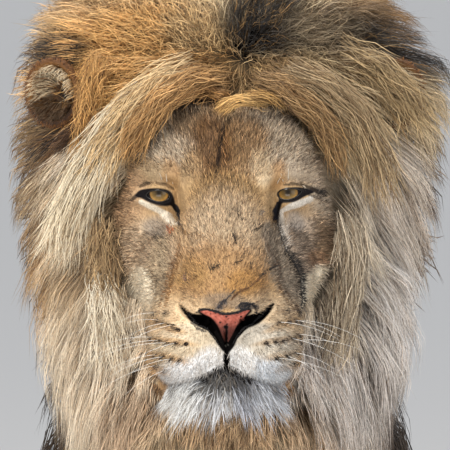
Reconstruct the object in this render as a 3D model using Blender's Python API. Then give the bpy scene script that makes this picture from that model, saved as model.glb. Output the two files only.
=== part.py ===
"""An adult male lion, standing, at life size.

The head is modelled in a face frame (x across, u up, w towards whoever it looks at), because a face is
easiest to build from the front; everything else stands straight in the part's own frame, nose to -Y.
Masses are laid out as ellipsoids and lofts, melted into one skin by a voxel remesh, thinned, and then
parted into the animal's named pieces by thin cuts.
"""

import math

import bmesh
import bpy
from mathutils import Matrix, Vector

# Driving dimensions, in metres.
SHOULDER_HEIGHT = 1.12  # floor to the withers, coat included
TRUNK_FRONT, TRUNK_LENGTH = -0.54, 1.21  # point of the chest and how far back the rump lies
FACE_HEIGHT, FACE_FORWARD = 1.02, -1.04  # the point between the eyes
FACE_TILT = math.radians(6)  # how far the face frame leans back
STANCE_FORE, STANCE_HIND = 0.138, 0.132  # half the distance between left and right paws
STRIDE_FORE, STRIDE_HIND = 0.045, 0.05  # how far the left fore and right hind stand ahead, the others behind
TAIL_DROP = 0.74  # how far below its root the tail's tip hangs, without the tuft
EYE_SPREAD, EYE_RADIUS, EYE_DEPTH = 0.0645, 0.0175, -0.040
EAR_SPREAD, EAR_LIFT = 0.172, 0.106
EAR_DEPTH_LEFT, EAR_DEPTH_RIGHT = -0.116, -0.100  # the left ear lies deeper in the mane
CUT = 0.0004  # the gap that parts two pieces
FLOOR_FLAT = 0.004  # how much of the paws' undersides is cut away flat

X_AXIS = Vector((1, 0, 0))
FACE_UP = Vector((0, math.sin(FACE_TILT), math.cos(FACE_TILT)))
FACE_OUT = Vector((0, -math.cos(FACE_TILT), math.sin(FACE_TILT)))
FACE_FRAME = Matrix.Translation((0, FACE_FORWARD, FACE_HEIGHT)) @ Matrix(
    (X_AXIS, FACE_UP, FACE_OUT)
).transposed().to_4x4()

# Voxel sizes, smoothing passes and triangle budgets of the two melted skins.
HEAD_VOXEL, HEAD_SMOOTH, HEAD_TRIANGLES = 0.004, 8, 2000
BODY_VOXEL, BODY_SMOOTH, BODY_TRIANGLES = 0.0085, 9, 2700


def face(x, u, w):
    """A point of the face frame in the part's own frame."""
    return FACE_FRAME @ Vector((x, u, w))


def clear_scene():
    for old in list(bpy.data.objects):
        bpy.data.objects.remove(old, do_unlink=True)


def material(name, colour, roughness):
    made = bpy.data.materials.new(name)
    made.use_nodes = True
    shader = made.node_tree.nodes["Principled BSDF"]
    shader.inputs["Base Color"].default_value = (*colour, 1)
    shader.inputs["Roughness"].default_value = roughness
    shader.inputs["Metallic"].default_value = 0
    made.diffuse_color = (*colour, 1)
    return made


def object_from(bm, name):
    """A new object in the scene that holds the bmesh, which is freed."""
    mesh = bpy.data.meshes.new(name)
    bm.to_mesh(mesh)
    bm.free()
    made = bpy.data.objects.new(name, mesh)
    bpy.context.scene.collection.objects.link(made)
    return made


def ball(bm, centre, radii, turn=None, frame=None):
    """Adds an ellipsoid: radii along the frame's axes, turned by a rotation matrix."""
    place = (frame or Matrix.Identity(4)) @ Matrix.Translation(centre)
    if turn:
        place = place @ turn.to_4x4()
    bmesh.ops.create_icosphere(
        bm, subdivisions=4, radius=1, matrix=place @ Matrix.Diagonal((*radii, 1))
    )


def loft(bm, stations, square=2.0, frame=None, sides=36):
    """Adds a closed tube through stations of (centre, half width along X, half depth across it).
    square is the superellipse power of its outline: 2 is round, more is boxier."""
    frame = frame or Matrix.Identity(4)
    rings = []
    last = len(stations) - 1
    for index, (centre, half_width, half_depth) in enumerate(stations):
        along = Vector(stations[min(index + 1, last)][0]) - Vector(stations[max(index - 1, 0)][0])
        along.normalize()
        across = along.cross(X_AXIS).normalized()
        turn = Matrix((X_AXIS, across, along)).transposed().to_4x4()
        place = frame @ Matrix.Translation(centre) @ turn
        made = bmesh.ops.create_circle(bm, cap_ends=index in (0, last), segments=sides, radius=1)["verts"]
        for vert in made:
            angle = math.atan2(vert.co.y, vert.co.x)
            reach = (abs(math.cos(angle)) ** square + abs(math.sin(angle)) ** square) ** (-1 / square)
            flat = Vector((math.cos(angle) * reach * half_width, math.sin(angle) * reach * half_depth, 0))
            vert.co = place @ flat
        rings.append(list({edge for vert in made for edge in vert.link_edges}))
    for one, other in zip(rings, rings[1:]):
        bmesh.ops.bridge_loops(bm, edges=one + other)
    bmesh.ops.recalc_face_normals(bm, faces=bm.faces)


def evaluated_copy(obj, name):
    """A plain object with the mesh that obj's modifiers give; obj is removed."""
    graph = bpy.context.evaluated_depsgraph_get()
    mesh = bpy.data.meshes.new_from_object(obj.evaluated_get(graph))
    bpy.data.objects.remove(obj, do_unlink=True)
    made = bpy.data.objects.new(name, mesh)
    bpy.context.scene.collection.objects.link(made)
    return made


def thinned(obj, ratio):
    """obj with only this share of its triangles left; obj is used up."""
    thin = obj.modifiers.new("thin", "DECIMATE")
    thin.ratio = ratio
    thin.use_collapse_triangulate = True
    bpy.context.view_layer.update()
    return evaluated_copy(obj, obj.name)


def melt(bm, name, voxel, smooth, triangles):
    """One skin over all the overlapping masses in bm, smoothed and thinned to a triangle budget."""
    obj = object_from(bm, name)
    remesh = obj.modifiers.new("melt", "REMESH")
    remesh.mode = "VOXEL"
    remesh.voxel_size = voxel
    soften = obj.modifiers.new("soften", "SMOOTH")
    soften.factor = 0.5
    soften.iterations = smooth
    bpy.context.view_layer.update()
    obj = evaluated_copy(obj, name)
    return thinned(obj, triangles / (2 * len(obj.data.polygons)))


def boolean(obj, cutter, operation):
    """obj cut, or kept, by a closed cutter; obj is used up and the cutter stays."""
    modifier = obj.modifiers.new("cut", "BOOLEAN")
    modifier.operation = operation
    modifier.object = cutter
    modifier.solver = "EXACT"
    bpy.context.view_layer.update()
    return largest_body(evaluated_copy(obj, obj.name))


def largest_body(obj):
    """Drops crumbs that a cut leaves beside the main body."""
    bodies = loose_bodies(obj)
    if len(bodies) > 1:
        keep = max(bodies, key=len)
        bm = bmesh.new()
        bm.from_mesh(obj.data)
        bm.verts.ensure_lookup_table()
        bmesh.ops.delete(bm, geom=[v for v in bm.verts if v.index not in keep], context="VERTS")
        bm.to_mesh(obj.data)
        bm.free()
    return obj


def loose_bodies(obj):
    """Sets of vertex indices, one for each body that hangs together."""
    bm = bmesh.new()
    bm.from_mesh(obj.data)
    left = set(bm.verts)
    found = []
    while left:
        queue = [left.pop()]
        body = {queue[0].index}
        while queue:
            for edge in queue.pop().link_edges:
                for vert in edge.verts:
                    if vert in left:
                        left.discard(vert)
                        body.add(vert.index)
                        queue.append(vert)
        found.append(body)
    bm.free()
    return found


def copy_of(obj, name):
    made = bpy.data.objects.new(name, obj.data.copy())
    bpy.context.scene.collection.objects.link(made)
    return made


def inflated(obj, by):
    """A copy grown by a small distance along its normals, to cut a room with a gap round obj."""
    made = copy_of(obj, obj.name + ".room")
    bm = bmesh.new()
    bm.from_mesh(made.data)
    moves = [(v, v.normal * by) for v in bm.verts]
    for vert, move in moves:
        vert.co += move
    bm.to_mesh(made.data)
    bm.free()
    return made


def half_space(point, normal, size=3.0):
    """A big box that fills the side of a plane that normal points to."""
    bm = bmesh.new()
    turn = Vector(normal).to_track_quat("Z", "Y").to_matrix().to_4x4()
    centre = Vector(point) + Vector(normal).normalized() * size / 2
    bmesh.ops.create_cube(bm, size=size, matrix=Matrix.Translation(centre) @ turn)
    return object_from(bm, "half.space")


def box_between(low, high, frame=None):
    """A closed box between two corners."""
    bm = bmesh.new()
    size = Vector(high) - Vector(low)
    centre = (Vector(high) + Vector(low)) / 2
    place = (frame or Matrix.Identity(4)) @ Matrix.Translation(centre)
    bmesh.ops.create_cube(bm, size=1, matrix=place @ Matrix.Diagonal((*size, 1)))
    return object_from(bm, "box.cutter")


def split(obj, point, normal, ahead_name, behind_name):
    """Two pieces of obj: ahead of a plane and behind it, CUT apart."""
    normal = Vector(normal).normalized()
    halves = []
    for sign in (1, -1):
        cutter = half_space(Vector(point) + normal * sign * CUT / 2, normal * sign)
        halves.append(boolean(copy_of(obj, "half"), cutter, "INTERSECT"))
        bpy.data.objects.remove(cutter, do_unlink=True)
    bpy.data.objects.remove(obj, do_unlink=True)
    for half, name in zip(halves, (ahead_name, behind_name)):
        half.name = name
    return halves


def carve(obj, cutter, inside_name, outside_name):
    """The piece of obj inside a cutter and the rest, CUT apart; obj and the cutter are used up."""
    room = inflated(cutter, 2 * CUT)
    inside = boolean(copy_of(obj, "inside"), cutter, "INTERSECT")
    outside = boolean(copy_of(obj, "outside"), room, "DIFFERENCE")
    for used in (obj, cutter, room):
        bpy.data.objects.remove(used, do_unlink=True)
    inside.name = inside_name
    outside.name = outside_name
    return inside, outside


# ---------------------------------------------------------------- the head, in the face frame


def head_masses(bm):
    """Cranium, forehead, bridge, muzzle, cheeks and jaw, placed from the point between the eyes."""
    f = FACE_FRAME
    ball(bm, (0, 0.020, -0.135), (0.104, 0.098, 0.110), frame=f)  # cranium
    ball(bm, (0, 0.040, -0.088), (0.119, 0.090, 0.078), frame=f)  # forehead
    ball(bm, (0, -0.030, -0.110), (0.119, 0.088, 0.080), frame=f)  # width across the cheekbones
    bridge = [
        ((0, 0.060, -0.080), 0.060, 0.045),
        ((0, 0.025, -0.046), 0.054, 0.038),
        ((0, -0.012, -0.020), 0.047, 0.034),
        ((0, -0.060, 0.022), 0.047, 0.032),
        ((0, -0.096, 0.058), 0.045, 0.030),
        ((0, -0.120, 0.082), 0.034, 0.024),
    ]
    loft(bm, bridge, square=2.6, frame=f)
    ball(bm, (0, -0.128, 0.088), (0.030, 0.021, 0.022), frame=f)  # nose
    ball(bm, (0, -0.148, 0.076), (0.016, 0.024, 0.020), frame=f)  # under the nose
    muzzle = [
        ((0, -0.070, -0.090), 0.088, 0.078),
        ((0, -0.100, -0.030), 0.078, 0.072),
        ((0, -0.122, 0.020), 0.070, 0.060),
        ((0, -0.138, 0.058), 0.054, 0.042),
    ]
    loft(bm, muzzle, square=2.3, frame=f)
    jaw = [
        ((0, -0.130, -0.120), 0.080, 0.060),
        ((0, -0.160, -0.060), 0.072, 0.050),
        ((0, -0.180, -0.010), 0.062, 0.040),
        ((0, -0.190, 0.025), 0.054, 0.030),
    ]
    loft(bm, jaw, square=2.2, frame=f)
    ball(bm, (0, -0.198, 0.032), (0.050, 0.030, 0.036), frame=f)  # chin and its beard
    for side in (-1, 1):
        outward = Matrix.Rotation(side * math.radians(22), 3, "Y")
        ball(bm, (side * 0.039, -0.154, 0.046), (0.038, 0.040, 0.046), outward, f)  # whisker pad
        ball(bm, (side * 0.056, -0.138, 0.014), (0.022, 0.050, 0.046), frame=f)  # side of the muzzle
        ball(bm, (side * 0.060, -0.088, -0.040), (0.030, 0.062, 0.052), frame=f)  # cheek above the muzzle
        ball(bm, (side * 0.077, -0.040, -0.094), (0.040, 0.072, 0.056), frame=f)  # cheek
        ball(bm, (side * 0.057, 0.024, -0.046), (0.034, 0.018, 0.025), frame=f)  # brow
        ball(bm, (side * 0.066, -0.032, -0.060), (0.040, 0.026, 0.030), frame=f)  # under the eye


def eye_ball(side, name):
    bm = bmesh.new()
    ball(bm, (side * EYE_SPREAD, 0.0005, EYE_DEPTH), (EYE_RADIUS,) * 3, frame=FACE_FRAME)
    return thinned(object_from(bm, name), 0.06)


def ear_forms(side, depth):
    """The ear's outer shell and the hollow scooped out of its front."""
    turn = Matrix.Rotation(side * math.radians(20), 3, "Y") @ Matrix.Rotation(side * math.radians(-24), 3, "Z")
    shell, scoop = bmesh.new(), bmesh.new()
    centre = Vector((side * EAR_SPREAD, EAR_LIFT, depth))
    ball(shell, centre, (0.036, 0.042, 0.036), turn, FACE_FRAME)
    forward = turn @ Vector((0, -0.002, 0.030))
    ball(scoop, centre + forward, (0.029, 0.035, 0.042), turn, FACE_FRAME)
    return thinned(object_from(shell, "ear.shell"), 0.08), thinned(object_from(scoop, "ear.scoop"), 0.08)


def ear(side, depth, name):
    """The cupped ear and the room it needs in the mane."""
    shell, scoop = ear_forms(side, depth)
    room = inflated(shell, CUT)
    cup = boolean(shell, scoop, "DIFFERENCE")
    cup.name = name
    bpy.data.objects.remove(scoop, do_unlink=True)
    return cup, room


def nose_cutter():
    """A wedge round the nose leather, broad above and pointed where it meets the lip."""
    bm = bmesh.new()
    stations = [
        ((0, -0.114, 0.104), 0.029, 0.024),
        ((0, -0.123, 0.104), 0.026, 0.026),
        ((0, -0.133, 0.104), 0.018, 0.026),
        ((0, -0.143, 0.102), 0.009, 0.024),
        ((0, -0.151, 0.100), 0.003, 0.018),
    ]
    loft(bm, stations, square=2.4, frame=FACE_FRAME, sides=14)
    return object_from(bm, "nose.cutter")


def jaw_cutter():
    """Everything under the mouth line and ahead of the jaw's corner."""
    tilt = Matrix.Rotation(math.radians(14), 4, "X")
    place = FACE_FRAME @ Matrix.Translation((0, -0.166, 0.02)) @ tilt
    return box_between((-0.2, -0.2, -0.045), (0.2, 0, 0.3), place)


def make_head():
    """The melted head, whole, still closed where the mane will cover it."""
    bm = bmesh.new()
    head_masses(bm)
    return melt(bm, "head.whole", HEAD_VOXEL, HEAD_SMOOTH, HEAD_TRIANGLES)


def face_cutter():
    """A tube round the face that parts it from the mane, from the brow's fringe to under the chin."""
    bm = bmesh.new()
    stations = [
        ((0, -0.060, -0.170), 0.100, 0.125),
        ((0, -0.060, -0.095), 0.112, 0.146),
        ((0, -0.062, -0.030), 0.118, 0.165),
        ((0, -0.064, 0.200), 0.125, 0.185),
    ]
    loft(bm, stations, square=2.3, frame=FACE_FRAME, sides=20)
    return object_from(bm, "face.cutter")


def part_head(whole):
    """Eyes, nose, lower jaw and head out of the joined skin, and the rest of the animal."""
    pieces = []
    for side, name in ((1, "eye_left"), (-1, "eye_right")):
        eye = eye_ball(side, name)
        room = inflated(eye, CUT)
        whole = boolean(whole, room, "DIFFERENCE")
        bpy.data.objects.remove(room, do_unlink=True)
        pieces.append(eye)
    head, rest = carve(whole, face_cutter(), "head.face", "body.rest")
    nose, head = carve(head, nose_cutter(), "nose", "head.rest")
    jaw, head = carve(head, jaw_cutter(), "lower_jaw", "head")
    return [head, jaw, nose, *pieces], rest


# ---------------------------------------------------------------- the body


def trunk_masses(bm):
    """Ribcage, loin and croup. Each station: share of the trunk's length, then centre height, half
    width and half depth in shoulder heights."""
    stations = [
        (0.00, 0.730, 0.080, 0.110),
        (0.07, 0.730, 0.132, 0.195),
        (0.20, 0.730, 0.163, 0.250),
        (0.40, 0.718, 0.172, 0.250),
        (0.58, 0.720, 0.168, 0.232),
        (0.74, 0.745, 0.150, 0.200),
        (0.87, 0.768, 0.140, 0.172),
        (0.96, 0.785, 0.108, 0.130),
        (1.00, 0.790, 0.064, 0.080),
    ]
    rings = []
    for share, height, half_width, half_depth in stations:
        centre = Vector((0, TRUNK_FRONT + share * TRUNK_LENGTH, height * SHOULDER_HEIGHT))
        rings.append((centre, half_width * SHOULDER_HEIGHT, half_depth * SHOULDER_HEIGHT))
    loft(bm, rings, square=2.15)


def paw_masses(bm, ankle, length, width, height):
    """A pad with four toes that fan forward from under the ankle."""
    x, y = ankle
    ball(bm, (x, y - 0.10 * length, 0.40 * height), (0.46 * width, 0.44 * length, 0.62 * height))
    for toe in range(4):
        fan = toe - 1.5
        reach = 0.60 * length - 0.05 * length * abs(fan) ** 1.5
        centre = (x + fan * 0.245 * width, y - reach, 0.30 * height)
        turn = Matrix.Rotation(math.radians(-7 * fan), 3, "Z")
        ball(bm, centre, (0.155 * width, 0.27 * length, 0.47 * height), turn)


def foreleg_masses(bm, side):
    """Shoulder, upper arm, forearm, wrist and paw of one side."""
    step = -side * STRIDE_FORE
    x = side * STANCE_FORE
    stations = [
        ((0.82 * x, -0.300, 0.960), 0.060, 0.090),
        ((0.94 * x, -0.360, 0.840), 0.074, 0.125),
        ((1.00 * x, -0.400, 0.720), 0.073, 0.115),
        ((1.02 * x, -0.375 + 0.2 * step, 0.600), 0.067, 0.096),
        ((1.02 * x, -0.385 + 0.5 * step, 0.470), 0.062, 0.078),
        ((x, -0.400 + 0.7 * step, 0.340), 0.053, 0.062),
        ((x, -0.412 + 0.9 * step, 0.220), 0.047, 0.052),
        ((x, -0.418 + step, 0.130), 0.048, 0.050),
        ((x, -0.440 + step, 0.060), 0.054, 0.056),
    ]
    loft(bm, stations, square=2.2)
    ball(bm, (1.0 * x, -0.335 + 0.2 * step, 0.590), (0.045, 0.045, 0.045))  # elbow
    paw_masses(bm, (x, -0.455 + step), 0.150, 0.128, 0.078)


def hind_leg_masses(bm, side):
    """Thigh, knee, shank, hock, metatarsus and paw of one side."""
    step = side * STRIDE_HIND
    x = side * STANCE_HIND
    stations = [
        ((0.66 * x, 0.470, 0.930), 0.075, 0.110),
        ((0.86 * x, 0.450, 0.820), 0.092, 0.160),
        ((1.04 * x, 0.415 + 0.2 * step, 0.700), 0.086, 0.150),
        ((1.10 * x, 0.365 + 0.4 * step, 0.590), 0.070, 0.108),
        ((1.06 * x, 0.400 + 0.6 * step, 0.480), 0.054, 0.078),
        ((x, 0.480 + 0.8 * step, 0.380), 0.042, 0.056),
        ((x, 0.528 + step, 0.300), 0.036, 0.050),
        ((x, 0.515 + step, 0.210), 0.034, 0.040),
        ((x, 0.495 + step, 0.120), 0.036, 0.040),
        ((x, 0.480 + step, 0.060), 0.042, 0.044),
    ]
    loft(bm, stations, square=2.2)
    ball(bm, (x, 0.555 + step, 0.315), (0.026, 0.032, 0.038))  # point of the hock
    paw_masses(bm, (x, 0.462 + step), 0.138, 0.112, 0.070)


def tail_masses(bm):
    """The tail hangs from the croup in a slow S and ends in the tuft."""
    root = Vector((0, TRUNK_FRONT + TRUNK_LENGTH - 0.045, 0.925))
    steps = 10
    stations = [(root, 0.048, 0.052)]
    for index in range(1, steps + 1):
        share = index / steps
        back = 0.155 * math.sin(math.pi * min(1.0, 0.62 * share + 0.10)) + 0.045 * share
        drop = TAIL_DROP * share ** 1.12
        sway = 0.045 * math.sin(math.pi * share)
        radius = 0.037 - 0.018 * share
        stations.append((root + Vector((sway, back, -drop)), radius, radius))
    loft(bm, stations, sides=16)
    tip = stations[-1][0]
    ball(bm, tip + Vector((0, 0, 0.025)), (0.043, 0.045, 0.095))
    ball(bm, tip + Vector((0, 0.004, -0.060)), (0.027, 0.029, 0.070))


def mane_masses(bm):
    """The mane's outer form, out to its tips: a crown and cape that run back to the withers, a throat
    and breast below them, and the locks round the face."""
    crown = [
        ((0, -0.962, 1.026), 0.128, 0.134),
        ((0, -0.938, 1.034), 0.168, 0.170),
        ((0, -0.896, 1.044), 0.202, 0.203),
        ((0, -0.845, 1.050), 0.222, 0.226),
        ((0, -0.760, 1.042), 0.227, 0.233),
        ((0, -0.660, 1.010), 0.224, 0.235),
        ((0, -0.550, 0.972), 0.217, 0.232),
        ((0, -0.440, 0.938), 0.202, 0.216),
        ((0, -0.340, 0.925), 0.174, 0.195),
        ((0, -0.260, 0.930), 0.122, 0.150),
    ]
    loft(bm, crown, square=2.5)
    throat = [
        ((0, -0.985, 0.890), 0.085, 0.100),
        ((0, -0.945, 0.860), 0.134, 0.165),
        ((0, -0.895, 0.842), 0.164, 0.215),
        ((0, -0.830, 0.828), 0.177, 0.245),
        ((0, -0.740, 0.806), 0.178, 0.256),
        ((0, -0.640, 0.782), 0.176, 0.250),
        ((0, -0.540, 0.762), 0.170, 0.230),
        ((0, -0.440, 0.745), 0.155, 0.200),
        ((0, -0.350, 0.730), 0.110, 0.150),
    ]
    loft(bm, throat, square=2.2)
    ball(bm, (0, -0.470, 0.560), (0.090, 0.150, 0.070))  # fringe between the forelegs
    ball(bm, (0, 0.140, -0.082), (0.105, 0.050, 0.058), frame=FACE_FRAME)  # forelock
    ball(bm, (0.160, 0.105, -0.185), (0.080, 0.075, 0.085), frame=FACE_FRAME)  # locks swept to the left
    for side in (-1, 1):
        ball(bm, (side * 0.105, -0.110, -0.190), (0.100, 0.150, 0.095), frame=FACE_FRAME)  # jowl locks
        ball(bm, (side * 0.112, 0.075, -0.105), (0.042, 0.075, 0.045), frame=FACE_FRAME)  # temple locks
        ball(bm, (side * 0.112, -0.085, -0.100), (0.042, 0.090, 0.055), frame=FACE_FRAME)  # cheek locks


def make_body():
    """The melted trunk, mane, legs and tail."""
    bm = bmesh.new()
    trunk_masses(bm)
    mane_masses(bm)
    tail_masses(bm)
    for side in (-1, 1):
        foreleg_masses(bm, side)
        hind_leg_masses(bm, side)
    return melt(bm, "body", BODY_VOXEL, BODY_SMOOTH, BODY_TRIANGLES)


def make_whole():
    """Body and head as one closed skin, set flat on the floor, and the two ears in rooms of their own."""
    whole = make_body()
    head = make_head()
    whole = boolean(whole, head, "UNION")
    bpy.data.objects.remove(head, do_unlink=True)
    ears = []
    for side, depth, name in ((1, EAR_DEPTH_LEFT, "ear_left"), (-1, EAR_DEPTH_RIGHT, "ear_right")):
        cup, room = ear(side, depth, name)
        whole = boolean(whole, room, "DIFFERENCE")
        bpy.data.objects.remove(room, do_unlink=True)
        ears.append(cup)
    floor = half_space((0, 0, FLOOR_FLAT), (0, 0, 1))
    whole = boolean(whole, floor, "INTERSECT")
    bpy.data.objects.remove(floor, do_unlink=True)
    return whole, ears


def part_body(body):
    """The body's named pieces, each cut off the rest in turn."""
    pieces = []
    rest = body
    for side, word in ((1, "left"), (-1, "right")):
        reach = sorted((0.0, side * 0.40))
        cuts = (
            ("forepaw_" + word, (-0.80, 0.0), (-0.20, 0.105)),
            ("forearm_" + word, (-0.80, 0.105), (-0.20, 0.475)),
            ("hind_paw_" + word, (0.20, 0.0), (0.72, 0.100)),
            ("hind_foot_" + word, (0.20, 0.100), (0.72, 0.345)),
            ("shank_" + word, (0.20, 0.345), (0.72, 0.545)),
        )
        for name, (y0, z0), (y1, z1) in cuts:
            low = (reach[0] + 0.02 * (side > 0), y0, z0 - 0.02 * (z0 == 0))
            high = (reach[1] - 0.02 * (side < 0), y1, z1)
            piece, rest = carve(rest, box_between(low, high), name, "body.rest")
            pieces.append(piece)
    for name, height in (("tail_tuft", 0.330), ("tail_middle", 0.640)):
        piece, rest = carve(rest, box_between((-0.2, 0.66, -0.1), (0.2, 1.2, height)), name, "body.rest")
        pieces.append(piece)
    tail_plane = (0, TRUNK_FRONT + TRUNK_LENGTH - 0.015, 0.93)
    rest, tail = split(rest, tail_plane, (0, -1, -0.35), "body.rest", "tail_base")
    pieces.append(tail)
    for side, word in ((1, "left"), (-1, "right")):
        low, high = sorted((side * 0.075, side * 0.40))
        limbs = (
            ("thigh_" + word, (low, 0.235, 0.40), (high, 0.70, 0.86)),
            ("upper_foreleg_" + word, (low, -0.56, 0.40), (high, -0.245, 0.70)),
        )
        for name, near, far in limbs:
            piece, rest = carve(rest, box_between(near, far), name, "body.rest")
            pieces.append(piece)
    rest, hindquarters = split(rest, (0, 0.16, 0.8), (0, -1, -0.12), "body.rest", "trunk_rear")
    front, thorax = split(rest, (0, -0.25, 0.9), (0, -1, -0.10), "front", "trunk_front")
    pieces += [hindquarters, thorax]
    ruff, rest = split(front, face(0, 0, -0.205), FACE_OUT, "mane_ruff", "body.rest")
    neck, breast = split(rest, (0, -0.55, 0.780), (0, 0.10, 1), "neck", "mane_breast")
    pieces += [ruff, neck, breast]
    return pieces


# ---------------------------------------------------------------- finish

FINISHES = {
    "coat": ((0.48, 0.33, 0.19), 0.85),
    "face": ((0.50, 0.37, 0.24), 0.80),
    "mane": ((0.52, 0.37, 0.20), 0.85),
    "dark_mane": ((0.10, 0.07, 0.05), 0.85),
    "nose": ((0.55, 0.19, 0.12), 0.45),
    "eye": ((0.42, 0.25, 0.08), 0.08),
}


def finish_of(name):
    """The finish that a piece wears, by its name."""
    if name.startswith("eye"):
        return "eye"
    if name in ("head", "lower_jaw") or name.startswith("ear"):
        return "face"
    if name == "nose":
        return "nose"
    if name in ("tail_tuft", "mane_breast"):
        return "dark_mane"
    if name in ("mane_ruff", "neck"):
        return "mane"
    return "coat"


def settle(pieces):
    """Moves all pieces so that the origin is under the middle of the whole animal, on the floor."""
    corners = [v.co for piece in pieces for v in piece.data.vertices]
    low = Vector([min(c[axis] for c in corners) for axis in range(3)])
    high = Vector([max(c[axis] for c in corners) for axis in range(3)])
    move = Matrix.Translation((-(low.x + high.x) / 2, -(low.y + high.y) / 2, -low.z))
    for piece in pieces:
        piece.data.transform(move)


def dress(pieces):
    """Gives each piece its material and soft shading, and its own origin at its middle."""
    finishes = {name: material(name, colour, rough) for name, (colour, rough) in FINISHES.items()}
    for piece in pieces:
        piece.data.materials.clear()
        piece.data.materials.append(finishes[finish_of(piece.name)])
        centre = sum((v.co for v in piece.data.vertices), Vector()) / len(piece.data.vertices)
        piece.data.transform(Matrix.Translation(-centre))
        piece.location = centre
        piece.data.shade_smooth()
        piece.data.set_sharp_from_angle(angle=math.radians(50))


def main():
    clear_scene()
    whole, ears = make_whole()
    head_pieces, body = part_head(whole)
    pieces = head_pieces + ears + part_body(body)
    settle(pieces)
    dress(pieces)


main()
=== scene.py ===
# An adult male lion at life size: one skin over the whole animal, amber eyes, and a coat of
# mesh tufts and long mane locks that follow the lie of the hair.
import bpy, bmesh, math
import numpy as np
from mathutils import Matrix, Vector
from mathutils.bvhtree import BVHTree
from mathutils.kdtree import KDTree


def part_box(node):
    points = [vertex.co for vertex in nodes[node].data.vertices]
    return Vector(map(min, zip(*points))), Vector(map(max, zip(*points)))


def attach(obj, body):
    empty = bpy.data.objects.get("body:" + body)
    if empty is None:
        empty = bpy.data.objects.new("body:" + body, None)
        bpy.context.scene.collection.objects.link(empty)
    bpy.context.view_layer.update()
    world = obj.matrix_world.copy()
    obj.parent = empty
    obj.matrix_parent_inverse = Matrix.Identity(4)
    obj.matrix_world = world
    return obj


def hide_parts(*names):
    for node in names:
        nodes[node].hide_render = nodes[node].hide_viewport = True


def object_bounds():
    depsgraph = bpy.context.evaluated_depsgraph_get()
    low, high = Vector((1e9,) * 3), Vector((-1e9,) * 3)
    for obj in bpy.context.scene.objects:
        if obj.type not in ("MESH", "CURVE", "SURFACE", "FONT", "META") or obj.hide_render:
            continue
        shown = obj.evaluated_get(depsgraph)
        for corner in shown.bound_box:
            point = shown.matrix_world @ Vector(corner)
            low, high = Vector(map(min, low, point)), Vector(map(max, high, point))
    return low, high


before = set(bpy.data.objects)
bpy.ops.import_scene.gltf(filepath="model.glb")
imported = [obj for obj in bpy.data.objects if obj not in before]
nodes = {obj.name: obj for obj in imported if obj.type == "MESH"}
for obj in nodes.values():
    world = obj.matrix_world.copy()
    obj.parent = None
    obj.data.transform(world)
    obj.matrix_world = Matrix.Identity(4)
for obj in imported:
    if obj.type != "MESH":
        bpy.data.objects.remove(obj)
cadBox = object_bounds()


def hexToLinear(text):
    parts = [int(text[i:i + 2], 16) / 255 for i in (1, 3, 5)]
    return np.array([c / 12.92 if c <= 0.04045 else ((c + 0.055) / 1.055) ** 2.4 for c in parts])


def ease(value):
    value = np.clip(value, 0.0, 1.0)
    return value * value * (3 - 2 * value)


def unit(vectors):
    return vectors / np.maximum(np.linalg.norm(vectors, axis=-1, keepdims=True), 1e-9)


def linked(name, mesh):
    made = bpy.data.objects.new(name, mesh)
    bpy.context.scene.collection.objects.link(made)
    return made


def meshObject(name, bm):
    mesh = bpy.data.meshes.new(name)
    bm.to_mesh(mesh)
    bm.free()
    return linked(name, mesh)


def readVectors(items, prop, size=3):
    found = np.empty(len(items) * size, dtype=np.float32)
    items.foreach_get(prop, found)
    return found.reshape(-1, size).astype(float)


def setPoints(mesh, points):
    mesh.vertices.foreach_set("co", points.astype(np.float32).ravel())
    mesh.update()


def boxMiddle(node):
    low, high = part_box(node)
    return np.array((low + high) / 2)


def addLayer(mesh, name, kind, values):
    # a colour or a plain number kept on each point of a mesh
    if kind == "FLOAT_COLOR":
        full = np.ones((len(values), 4), dtype=np.float32)
        full[:, :3] = values
        mesh.color_attributes.new(name, kind, "POINT").data.foreach_set("color", full.ravel())
    else:
        mesh.attributes.new(name, kind, "POINT").data.foreach_set("value", values.astype(np.float32))


def addNode(tree, kind, links=None, **settings):
    # settings that end in _ are the node's inputs, the rest its own properties
    node = tree.nodes.new(kind)
    for key, value in settings.items():
        if key.endswith("_"):
            node.inputs[key[:-1].replace("_", " ")].default_value = value
        else:
            setattr(node, key, value)
    for key, socket in (links or {}).items():
        tree.links.new(socket, node.inputs[key])
    return node


def newMaterial(name):
    material = bpy.data.materials.new(name)
    material.use_nodes = True
    material.node_tree.nodes.clear()
    return material, material.node_tree


# the face frame: x across, u up the face, w out of it, from the bridge between the eyes
faceTilt = math.radians(6)
eyeShape = {"radius": 0.0175, "behindBridge": 0.040, "aboveBridge": 0.0005}
eyeCentres = {side: boxMiddle(node) for side, node in ((1, "eye_left"), (-1, "eye_right"))}
faceUp = np.array((0, math.sin(faceTilt), math.cos(faceTilt)))
faceOut = np.array((0, -math.cos(faceTilt), math.sin(faceTilt)))
faceBasis = np.array(((1, 0, 0), faceUp, faceOut))
eyeMiddle = (eyeCentres[1] + eyeCentres[-1]) / 2
faceOrigin = eyeMiddle + faceOut * eyeShape["behindBridge"] - faceUp * eyeShape["aboveBridge"]
midline = faceOrigin[0]


def toFace(points):
    return (np.asarray(points) - faceOrigin) @ faceBasis.T


def fromFace(points):
    return np.asarray(points) @ faceBasis + faceOrigin


def mm(*values):
    return np.array(values, dtype=float) / 1000


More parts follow.
